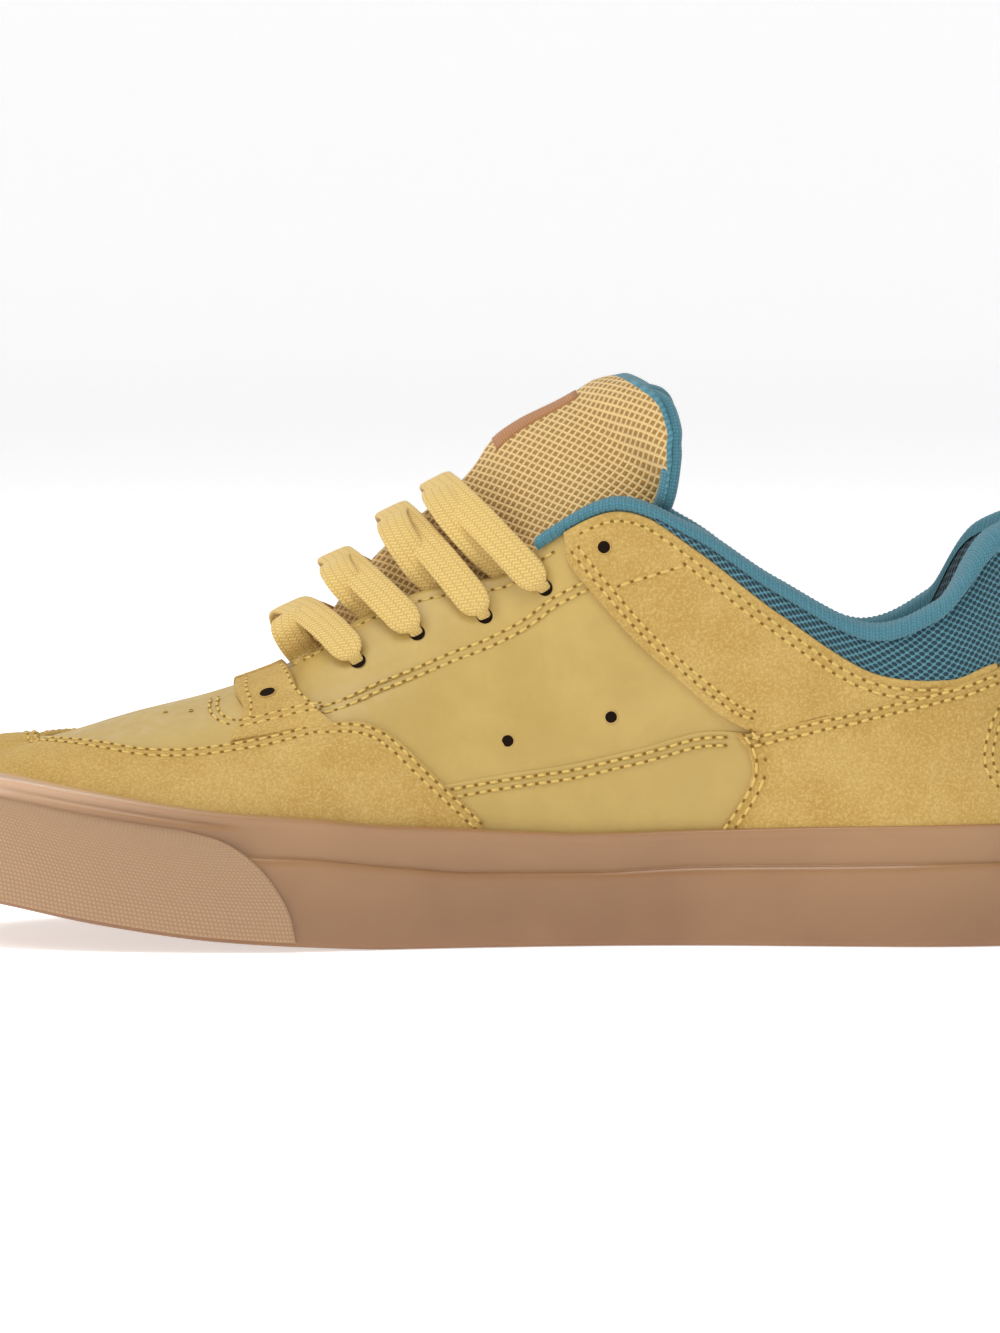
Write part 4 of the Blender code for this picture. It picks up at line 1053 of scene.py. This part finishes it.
# Rings down the sole's side. inset: how far one stands back from the outline. fade: it comes
# out to the outline under the bumper. side, ridge: shares of the heights of the side and of the
# ridge, and what is left is the bottom's share. more: height added to that.
SideStep = namedtuple("SideStep", "inset fade side ridge more")
SIDE_STEPS = tuple(SideStep(*row) for row in (
    (LIP_INSET, False, 1.0, 0.0, -0.25 * LIP_HEIGHT),
    (LIP_INSET + 0.00005, False, 1.0, 0.0, -0.60 * LIP_HEIGHT),
    (LIP_INSET + 0.0003, False, 1.0, 0.0, -0.85 * LIP_HEIGHT),
    (BAND_INSET - 0.0001, True, 1.0, 0.0, -1.1 * LIP_HEIGHT),
    (BAND_INSET, True, 1.0, 0.0, -1.6 * LIP_HEIGHT),
    (BAND_INSET, True, 0.5, 0.5, -0.5 * LIP_HEIGHT),
    (BAND_INSET, True, 0.0, 1.0, 0.0012),
    (BAND_INSET, True, 0.0, 1.0, 0.0004),
    (BAND_INSET - 0.0002, True, 0.0, 1.0, 0.0),
    (0.0010, True, 0.0, 1.0, 0.00015),
    (0.0006, True, 0.0, 1.0, -0.0002),
    (0.0003, True, 0.0, 1.0, -0.0007),
    (0.0001, False, 0.0, 1.0, -0.0013),
    (0.0, False, 0.0, 1.0, -0.0022),
    (0.0, False, 0.0, 0.7, 0.0),
    (0.0, False, 0.0, 0.4, 0.0),
    (0.0, False, 0.0, 0.0, EDGE_ROUND),
    (0.15 * EDGE_ROUND, False, 0.0, 0.0, 0.5 * EDGE_ROUND),
    (0.5 * EDGE_ROUND, False, 0.0, 0.0, 0.13 * EDGE_ROUND),
    (EDGE_ROUND, False, 0.0, 0.0, 0.0),
    (1.5 * EDGE_ROUND, False, 0.0, 0.0, 0.0)))
CUP_SHARES = (0.5, 0.8, 0.95, 1.0)   # rings inside the cup, shares of the way up to its edge
LIP_STEPS, LIP_RISE = 12, 0.0007     # rings over the lip, and how far it is rounded up


def side_ring(step):
    """Ring on the outside of the sole."""
    ring = []
    for k in range(2 * LAST * SOLE_COLUMNS):
        g = k / SOLE_COLUMNS
        point = outline(g)
        part = 1.0 - ease(station_of(point), BAND_END, BAND_END + BAND_FADE) if step.fade else 1.0
        place = point - outward(g) * (step.inset * part)
        place.z = (step.side * side_height(point) + step.ridge * ridge_height(point)
                   + (1.0 - step.side - step.ridge) * bottom_height(point) + step.more)
        ring.append(place)
    return ring


def build_sole():
    columns = [k / SOLE_COLUMNS for k in range(2 * LAST * SOLE_COLUMNS)]
    rings = [[skin(g, cup_edge(g) * share, GAP) for g in columns] for share in CUP_SHARES]
    inner = rings[-1]
    lip = side_ring(SideStep(LIP_INSET, False, 1.0, 0.0, 0.0))
    middle = [a.lerp(b, 0.5) for a, b in zip(inner, lip)]
    for k in range(1, LIP_STEPS + 1):
        a = math.pi * k / LIP_STEPS
        ring = []
        for m in range(len(columns)):
            point = middle[m] - (lip[m] - inner[m]) / 2 * math.cos(a)
            point.z += LIP_RISE * math.sin(a)
            ring.append(point)
        rings.append(ring)
    rings += [side_ring(step) for step in SIDE_STEPS]
    bm = bmesh.new()
    grid = [[ring[m] for ring in rings] for m in range(len(columns))]
    verts = lay(bm, grid, 0, closed=True)
    count = len(columns)
    for row, flip in ((-1, False), (0, True)):
        for m in range(count // 2):
            ring = [verts[m][row], verts[m + 1][row], verts[(count - m - 1) % count][row],
                    verts[(count - m) % count][row]]
            ring = list(dict.fromkeys(ring if flip else ring[::-1]))
            if len(ring) > 2:
                bm.faces.new(ring)
    bmesh.ops.recalc_face_normals(bm, faces=bm.faces)
    finish_piece("cupsole_rubber", bm, [GUM], "sole")


BUMPER_LENGTH = 0.26      # round the toe
BUMPER_RADIUS = 0.0005    # rounding of its edges
BUMPER_BACK = 0.0004      # how far it is let into the sole's side


def build_bumper():
    heights = [row.height for row in BUMPER_ROWS]
    stations = [row.station for row in BUMPER_ROWS]
    low, tall = heights[0], (heights[-1] - heights[0]) * SIDE_HEIGHT

    def wall(share, q):
        height = low + (heights[-1] - low) * q
        at = place_at(round(smooth(heights, stations, height), 4)) * (2 * share - 1)
        near = min(q * tall, (1 - q) * tall, min(share, 1 - share) * BUMPER_LENGTH)
        stand_out = OVERLAY_GAP + BUMPER * rounded(min(near / BUMPER_RADIUS, 1.0))
        point, back = (outline(at) + outward(at) * way for way in (stand_out, -BUMPER_BACK))
        point.z = back.z = bottom_height(outline(at)) + height * SIDE_HEIGHT
        return point, back

    shell("toe_bumper_woven", *grids(spread(BUMPER_LENGTH, 0.0016), spread(tall, 0.0014), wall), [WEAVE],
          "toe_bumper")


# Collar

# One row for each place from the front ends to the heel. lip: how far the binding reaches down
# outside, and pad: thickness of the pad inside, shares of ROLL. depth: share of COLLAR_DEPTH.
CollarRow = namedtuple("CollarRow", "section lip pad depth")
COLLAR = (
    CollarRow(10.2, 0.02, 0.16, 0.07), CollarRow(11.4, 0.02, 0.18, 0.08),
    CollarRow(12.2, 0.25, 0.60, 0.50), CollarRow(13.0, 0.45, 0.95, 0.90),
    CollarRow(14.0, 0.80, 1.15, 1.00), CollarRow(15.0, 1.00, 1.25, 1.00),
    CollarRow(16.5, 1.10, 1.20, 1.00), CollarRow(18.0, 1.10, 1.10, 1.00))
# Shape of the pad inside, from its top down: shares of its thickness and depth.
PAD_CURVE = ((0.55, -0.03), (0.92, 0.10), (1.05, 0.30), (1.08, 0.50), (0.95, 0.70), (0.70, 0.86),
             (0.35, 0.97), (0.02, 1.02))
PAD_EVERY = 8             # the pad has one column for this many of the binding
COLLAR_STEP = 0.00030     # spacing of the binding's columns
RIB = 0.00135             # pitch of the binding's ribs
RIB_DEPTH = 0.00016
LIP_LEAST, LIP_SHARE = 0.0006, 0.22   # the binding's reach down outside, with COLLAR's lip


def collar_spots():
    """Places round the collar, evenly spaced along its edge."""
    start = COLLAR[0].section - 0.4
    spots, g = [], start
    while g < 2 * LAST - start:
        spots.append(g)
        g += COLLAR_STEP / max((top_edge(g + 0.01) - top_edge(g)).length / 0.01, 0.002)
    return spots


def collar_lines(g, bump):
    """Points over the binding and down the pad at a place; bump is the height of its rib."""
    near = round(fold(g), 3)
    pad = table_value(COLLAR, "pad", near) * ROLL
    depth = table_value(COLLAR, "depth", near) * COLLAR_DEPTH
    lip = LIP_LEAST + LIP_SHARE * table_value(COLLAR, "lip", near) * ROLL
    fat = 0.55 + 0.45 * min(lip / (0.4 * ROLL), 1.0)
    reach = (surface(g, 1.0) - surface(g, 0.7)).length / 0.3
    edge_point, out_way = skin(g, 1.0), facing(g, 1.0)
    up = (surface(g, 1.0) - surface(g, 0.97)).normalized()

    def place(out, down):
        if down > 0.0:
            return skin(g, 1.0 - down / reach, out)
        return edge_point + out_way * out - up * down

    wall = -UPPER_WALL - GAP
    keys = [(0.0004, lip + 0.0008), (GAP + BINDING * (1.1 + 1.2 * fat), lip),
            (GAP + BINDING * (1.3 + 1.6 * fat), 0.35 * lip - 0.0006),
            (GAP + BINDING * (0.9 + 1.2 * fat), 0.1 * lip - 0.6 * ROLL_RISE),
            (-0.2 * UPPER_WALL, -ROLL_RISE), (wall - 0.25 * pad, -0.95 * ROLL_RISE),
            (wall - 0.60 * pad, -0.55 * ROLL_RISE), (wall - 0.80 * pad, 0.05 * depth)]
    rib = [place(out, down) for out, down in dense(keys, 3)]
    centre = sum(rib[3:-3], Vector()) / len(rib[3:-3])
    rib[1:-1] = [point + (point - centre).normalized() * bump for point in rib[1:-1]]
    return rib, [place(wall - 0.97 * pad * thick, down * depth) for thick, down in PAD_CURVE]


def build_collar():
    spots = collar_spots()
    run = lengths([top_edge(g) for g in spots])
    both = [collar_lines(g, RIB_DEPTH * math.sin(2 * math.pi * at / RIB)) for g, at in zip(spots, run)]
    binding = bmesh.new()
    lay(binding, [rib for rib, pad in both], 0, flip=True)
    finish_piece("collar_binding_knit", binding, [KNIT], "collar")
    lining = bmesh.new()
    lay(lining, [pad for rib, pad in both[::PAD_EVERY]], 0, flip=True)
    piece = finish_piece("collar_pad_lining", lining, [LINING])
    soften = piece.modifiers.new("soften", "SUBSURF")
    soften.levels = soften.render_levels = 1


# Tongue

# Free end of the tongue above the collar's front: middle and edge, shares of LENGTH,
# COLLAR_HEIGHT and BALL_WIDTH. roundness: 1 where the middle stands up narrow, less where broad.
# bulge: how far the end swells up and back between them, share of COLLAR_HEIGHT.
FreeRow = namedtuple("FreeRow", "station height edge_station edge_height half roundness bulge")
TONGUE_FREE = (FreeRow(0.437, 1.205, 0.378, 0.995, 0.170, 0.7, 0.000),
               FreeRow(0.421, 1.231, 0.366, 1.067, 0.230, 0.6, 0.014),
               FreeRow(0.400, 1.243, 0.361, 1.150, 0.240, 0.6, 0.030))
TONGUE_START = 4.6        # section under the vamp where the tongue is sewn in
TONGUE_END = 10.8         # last section held between the two sides
TONGUE_HEM = 0.93         # v at which its flaps start down inside each side
TONGUE_FLAP = 0.13        # how far down they reach, in v
TONGUE_BELL = 0.6         # share of its half width that rises between the two sides
TONGUE_BROAD = 0.4        # how much flatter its top is at the end than at the toe
BROAD_FROM = 9.2          # section from which it gets flatter
TONGUE_TURN = 0.008       # how far the free end's sides turn down
TONGUE_LEAN = Vector((0.44, 0.0, 0.90)).normalized()   # direction in which the instep faces
TONGUE_SPOTS = 10         # steps across the tongue
TONGUE_HELD = 14          # rows of points between the two sides


def tongue_rows():
    """Rows of (point, direction out, share of the thickness) across the tongue, toe to top."""
    rows = []
    held = TONGUE_HELD - 1
    for g in [TONGUE_START + (TONGUE_END - TONGUE_START) * k / held for k in range(TONGUE_HELD)]:
        left, right = 2 * LAST - g, g
        under = -UPPER_WALL - SOFT_GAP
        hem = [skin(side, TONGUE_HEM, under) for side in (left, right)]
        lean = [facing(side, TONGUE_HEM) for side in (left, right)]
        middle = (top_edge(left) + top_edge(right)) / 2
        crown = middle + TONGUE_LEAN * column("rise", g) * COLLAR_HEIGHT - (hem[0] + hem[1]) / 2
        full = min(max((g - TONGUE_START) / 4.0, 0.0), 1.0) * 0.5 + 0.5
        broad = 1.0 - TONGUE_BROAD * min(max((g - BROAD_FROM) / (TONGUE_END - BROAD_FROM), 0.0), 1.0)
        row = []
        for k in range(TONGUE_SPOTS + 1):
            a = 2.0 * k / TONGUE_SPOTS - 1.0
            side = 0 if a < 0 else 1
            if abs(a) > TONGUE_BELL + 0.01:
                v = TONGUE_HEM - (abs(a) - TONGUE_BELL) / (1.0 - TONGUE_BELL) * TONGUE_FLAP
                at = (left, right)[side]
                out = facing(at, v)
                row.append((skin(at, v, under), out, 0.55 * full))
            else:
                f = (a / TONGUE_BELL + 1.0) / 2.0
                rise = (0.5 + 0.5 * math.cos(a / TONGUE_BELL * math.pi)) ** broad
                out = (lean[0].lerp(lean[1], f) + TONGUE_LEAN * rise).normalized()
                row.append((hem[0].lerp(hem[1], f) + crown * rise, out, (0.6 + 0.4 * rise) * full))
        rows.append(row)
    for free in TONGUE_FREE:
        spine = column("spine", TONGUE_END) * BALL_WIDTH
        edge_at = Vector((free.edge_station * LENGTH - HEEL_REST, spine, free.edge_height * COLLAR_HEIGHT))
        crown = Vector((free.station * LENGTH - HEEL_REST, spine, free.height * COLLAR_HEIGHT)) - edge_at
        swell = Vector((-crown.z, 0.0, crown.x)).normalized() * free.bulge * COLLAR_HEIGHT
        row = []
        for k in range(TONGUE_SPOTS + 1):
            a = 2.0 * k / TONGUE_SPOTS - 1.0
            turn = max(min(a / TONGUE_BELL, 1.0), -1.0) * math.pi / 2
            across = Vector((0.0, math.sin(turn), 0.0))
            rise = (0.5 + 0.5 * math.cos(2 * turn)) ** free.roundness
            out = (across * abs(math.sin(turn)) + TONGUE_LEAN * math.cos(turn)).normalized()
            point = (edge_at + across * free.half * BALL_WIDTH + crown * rise
                     + swell * 4.0 * rise * (1.0 - rise))
            point.z -= max(abs(a) - TONGUE_BELL, 0.0) / (1.0 - TONGUE_BELL) * TONGUE_TURN
            row.append((point, out, 0.6 + 0.4 * rise))
        rows.append(row)
    return rows


LABEL_HALF = 0.0048       # half of the label's width
TONGUE_SWELL = 0.0024     # how far the padding stands out over the solid
TONGUE_BORDER = 0.0048, 0.0038   # width and thickness of the binding round its free end
TONGUE_WAY = Vector((-0.89, 0.0, 0.46))      # direction of the tongue's crest, toe to top
CLOTH_TURN = 0.26         # turn of the mesh on the tongue
CLOTH_STRETCH = 0.55      # how much of the way across counts, where it lies over the side
FINE = 6                  # the tongue's mesh is this much finer than its rows


def cloth_chart(grid):
    """Map in metres of the cloth that lies over the tongue's crest."""
    upright = Vector((TONGUE_WAY.z, 0.0, -TONGUE_WAY.x))
    cosine, sine = math.cos(CLOTH_TURN), math.sin(CLOTH_TURN)

    def place(point, spine):
        along = point.dot(TONGUE_WAY)
        apart = CLOTH_STRETCH * abs(point.y - spine) - point.dot(upright)
        return along * cosine + apart * sine, apart * cosine - along * sine

    return [[place(point, line[len(line) // 2].y) for point in line] for line in grid]


def refine(grid, count):
    """Finer grid on a smooth surface through the points of a coarse one."""
    def finer(line):
        full = [line[0] * 2 - line[1]] + list(line) + [line[-1] * 2 - line[-2]]
        made = [catmull(*(full[i + j] for j in (-1, 0, 1, 2)), k / count)
                for i in range(1, len(full) - 2) for k in range(count)]
        return made + [line[-1]]
    across = [finer(line) for line in grid]
    return [list(line) for line in zip(*(finer(line) for line in zip(*across)))]


def build_tongue():
    rows = tongue_rows()
    outer = []
    for number, row in enumerate(rows):
        full = TONGUE_SWELL * ease(number, 7, 12)
        outer.append([point + out * full * max(share - 0.5, 0.0) * 2 for point, out, share in row])
    inner = [[point - out * TONGUE * share for point, out, share in row] for row in rows]
    fine = refine(outer, FINE)
    tongue = shell("tongue_padded", fine, refine(inner, FINE), [TAN_MESH, KNIT, LINING], "tongue", rim=1,
                   chart=cloth_chart(fine))
    mark_hem(tongue, fine[-1] + [line[k] for line in fine[-FINE - 1:] for k in (0, -1)])
    middles = [[a.lerp(b, 0.5) for a, b in zip(*lines)] for lines in zip(outer[-6:], inner[-6:])]
    border = [line[0] for line in middles] + middles[-1][1:-1] + [line[-1] for line in reversed(middles)]
    bm = bmesh.new()
    tube(bm, sweep(border, 0.0007, lambda f: TONGUE_BORDER))
    finish_piece("tongue_binding_knit", bm, [KNIT], merge=0)
    build_label(tongue, [row[TONGUE_SPOTS // 2][0] for row in rows[-6:-2]])


def mark_hem(tongue, hem):
    """Store the distance from each point of the tongue to its hem, for the mesh's colour."""
    tree = kdtree.KDTree(len(hem))
    for number, point in enumerate(hem):
        tree.insert(point, number)
    tree.balance()
    values = tongue.data.attributes.new("hem", "FLOAT", "POINT")
    values.data.foreach_set("value", [tree.find(vert.co)[2] for vert in tongue.data.vertices])


def build_label(tongue, crest):
    """Woven label that lies on the tongue along its crest."""
    cloth = BVHTree.FromPolygons([vert.co for vert in tongue.data.vertices],
                                 [tuple(face.vertices) for face in tongue.data.polygons])

    def wall(line, share):
        above = line[0] + TONGUE_LEAN * 0.02 + Vector((0.0, LABEL_HALF * share, 0.0))
        point, normal = cloth.ray_cast(above, -TONGUE_LEAN)[:2]
        return point + normal * LABEL, point - normal * 0.0003

    shares = [k / 6 for k in range(-6, 7)]
    lines = refine([[point] * 2 for point in crest], 4)
    shell("tongue_label_plain", *grids(lines, shares, wall), [LABEL_CLOTH], "tongue_label")


def sweep(points, step, size, count=12, wide=None, flat=2.6):
    """Rings of a strip along a curve through points.

    size gives its width and thickness at a share of its length, wide the direction across it;
    flat: 2 is an ellipse, and more is squarer."""
    full = [points[0] * 2 - points[1]] + list(points) + [points[-1] * 2 - points[-2]]
    line = []
    for i in range(1, len(full) - 2):
        pieces = max(int((full[i + 1] - full[i]).length / step), 2)
        for k in range(pieces):
            line.append(catmull(*(full[i + j] for j in (-1, 0, 1, 2)), k / pieces))
    line.append(points[-1])
    total = lengths(line)
    power = 2.0 / flat
    rings, last = [], None
    for i, point in enumerate(line):
        heading = (line[min(i + 1, len(line) - 1)] - line[max(i - 1, 0)]).normalized()
        if wide is not None:
            across = wide(i / (len(line) - 1), point)
        else:
            across = last or heading.orthogonal()
        across = (across - heading * across.dot(heading)).normalized()
        last = across
        thick = heading.cross(across)
        width, height = size(total[i] / total[-1])
        ring = []
        for a in turns(count):
            ring.append(point + across * math.copysign(abs(math.cos(a)) ** power, math.cos(a)) * width / 2
                        + thick * math.copysign(abs(math.sin(a)) ** power, math.sin(a)) * height / 2)
        rings.append(ring)
    return rings


# Laces

# Crossings, from the toe up: place of the crest between the sections, and how far it stands
# over the tongue, share of COLLAR_HEIGHT.
Crossing = namedtuple("Crossing", "section stand")
CROSSINGS = (Crossing(6.05, 0.086), Crossing(6.95, 0.062), Crossing(7.95, 0.037), Crossing(8.65, 0.034))
UNDER_AHEAD = 0.45        # the lace comes up this far behind the hole below, in sections
LACE_THICK = 0.0017       # the woven lace, fuller than flat
LACE_GATHER = 0.0050      # length over which it narrows beside its hole
LACE_TUCK = 0.0075        # how far the lace goes on inside a hole
LACE_LIFT = 0.0009, -0.0007   # the strand to the inner hole lies over the other
HOLE_SHADE_RADIUS = 0.72 * HOLE     # painted shade of the hole that shows beside the lace


def lace_path(number, place, far_place, lift):
    """Points of a lace from under the far side's edge, over the tongue and into the hole.

    place and far_place turn a section to the hole's side and to the other."""
    hole, crossing = HOLES[number], CROSSINGS[number - 1]
    low_g = max(HOLES[number - 1].section + UNDER_AHEAD, THROAT + 0.85)
    start = top_edge(far_place(low_g))
    middle = Vector((start.x, column("spine", low_g) * BALL_WIDTH, start.z))
    start = start + (middle - start).normalized() * LACE_NECK * 0.75 + TONGUE_LEAN * LACE * 0.5
    end = skin(place(hole.section), hole.v, SOFT_GAP + LACE / 2)
    out = facing(place(hole.section), hole.v)
    crest = top_edge(crossing.section)
    crest.y = column("spine", crossing.section) * BALL_WIDTH
    crest += TONGUE_LEAN * ((column("rise", crossing.section) + crossing.stand) * COLLAR_HEIGHT + lift)
    push = ((8 * crest - start - end) / 3 - start - end) / 2
    points = [skin(far_place(low_g), v, -UPPER_WALL - LACE) for v in (0.86, 0.95)]
    for f in (0.0, 0.08, 0.2, 0.35, 0.5, 0.65, 0.8, 0.92):
        points.append((1 - f) ** 3 * start + 3 * (1 - f) ** 2 * f * (start + push)
                      + 3 * (1 - f) * f * f * (end + push) + f ** 3 * end)
    points[-1] = points[-1] + out * 0.0004
    points += [end + out * 0.0001, end - out * 0.0035 + (end - points[-1]).normalized() * 0.0012,
               end - out * LACE_TUCK]
    return points, end, out


def lace_strand(bm, number, inner_side):
    """One flat lace, and the painted shade of the hole that it goes into."""
    sides = [lambda g: g, lambda g: 2 * LAST - g]
    if not inner_side:
        sides.reverse()
    points, end, out = lace_path(number, *sides, LACE_LIFT[0 if inner_side else 1])
    along = Vector((TONGUE_LEAN.z, 0.0, -TONGUE_LEAN.x))
    total = lengths(points)[-1]
    wobble = noise.noise(Vector((number * 3.1, 7.0 if inner_side else 2.0, 0.5)))

    def size(f):
        left = (1.0 - f) * total - LACE_TUCK
        full = (0.5 + 0.5 * ease(f, 0.05, 0.18)) * rounded(min(left / LACE_GATHER, 1.0))
        width = LACE_NECK + (LACE_WIDTH * (1.08 + 0.06 * wobble) - LACE_NECK) * full
        return width, LACE_THICK + 0.0010 * (1.0 - full)

    def wide(f, point):
        return along + out * (0.25 * wobble * math.sin(math.pi * f))

    tube(bm, sweep(points, 0.0006, size, count=16, wide=wide, flat=3.4))
    heading = (end - points[-5]).normalized()
    # disc of painted shade for the hole's inside, beside the lace
    dark = end - out * (SOFT_GAP + LACE / 2 - 0.00012) + heading * 0.0016
    disc(bm, dark, out, HOLE_SHADE_RADIUS, 1.1, heading, count=24, look=1)


def build_laces():
    for number in range(1, len(CROSSINGS) + 1):
        bm = bmesh.new()
        for inner_side in (True, False):
            lace_strand(bm, number, inner_side)
        finish_piece(f"lace_woven_{number}", bm, [LACE_CLOTH, HOLE_SHADE], f"lace_crossing_{number}", merge=0)


def dress_insole():
    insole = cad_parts["insole"]
    insole.data.materials.clear()
    insole.data.materials.append(FOOTBED_CLOTH)


build_upper()
build_overlays()
build_stitches()
build_holes()
build_sole()
build_bumper()
build_collar()
build_tongue()
build_laces()
dress_insole()


# Studio

WHITE = (1.0, 1.0, 1.0, 1.0)
# Radius and height of the paper bowl on which the shoe stands.
BOWL = ((0.0, 0.0), (0.4, 0.0), (1.0, 0.0), (2.5, 0.0), (4.0, 0.0), (5.0, 0.06), (5.8, 0.35),
        (6.3, 1.0), (6.5, 2.0))
BOWL_MIDDLE = Vector((0.1, 0.0, -0.0001))
Lamp = namedtuple("Lamp", "name place size power")
LAMPS = (Lamp("key", (0.4, 0.7, 1.8), 0.8, 12.0), Lamp("fill", (-0.9, 1.2, 0.9), 1.1, 1.8),
         Lamp("back", (0.2, -1.3, 1.5), 1.0, 5.5), Lamp("toe", (1.3, 0.5, 1.0), 0.5, 4.5),
         Lamp("glint", (0.65, 0.12, 0.85), 0.25, 1.3))
LAMP_AIM = Vector((0.1, 0.0, 0.05))
CAMERA_AIM = Vector((0.1063, 0.045, 0.0707))
CAMERA_LIFT = math.radians(4.0)
CAMERA_DISTANCE = 2.4
VIEW_WIDTH = 0.248        # width of the picture at the shoe's inner side
SENSOR = 36.0


def stand(thing, place, aim):
    """Put a lamp or camera at a place, turned to a point."""
    thing.location = place
    thing.rotation_euler = (aim - place).to_track_quat("-Z", "Y").to_euler()


def build_studio():
    bm = bmesh.new()
    rings = [[BOWL_MIDDLE + Vector((radius * math.cos(a), radius * math.sin(a), height)) for a in turns(64)]
             for radius, height in BOWL]
    lay(bm, [list(line) for line in zip(*rings)], 0, closed=True)
    paper = Look("studio_paper", (0.93, 0.93, 0.93), 0.9, Emission_Strength=0.52)
    paper.shader.inputs["Emission Color"].default_value = WHITE
    solid("studio_floor", bm, [paper.material], 1e-5)
    world = bpy.data.worlds.new("studio")
    bpy.context.scene.world = world
    world.use_nodes = True
    sky = world.node_tree.nodes["Background"].inputs
    sky["Color"].default_value = WHITE
    sky["Strength"].default_value = 0.30
    bpy.context.scene.view_settings.view_transform = "Standard"
    for row in LAMPS:
        light = bpy.data.lights.new(row.name, "AREA")
        light.size = row.size
        light.energy = row.power
        stand(show(row.name, light), Vector(row.place), LAMP_AIM)


def build_camera():
    camera = bpy.data.cameras.new("camera")
    camera.sensor_fit = "HORIZONTAL"
    camera.sensor_width = SENSOR
    camera.lens = SENSOR * CAMERA_DISTANCE / VIEW_WIDTH
    holder = show("camera", camera)
    away = Vector((0.0, math.cos(CAMERA_LIFT), math.sin(CAMERA_LIFT)))
    stand(holder, CAMERA_AIM + away * CAMERA_DISTANCE, CAMERA_AIM)
    bpy.context.scene.camera = holder


build_studio()
build_camera()
bpy.context.view_layer.update()
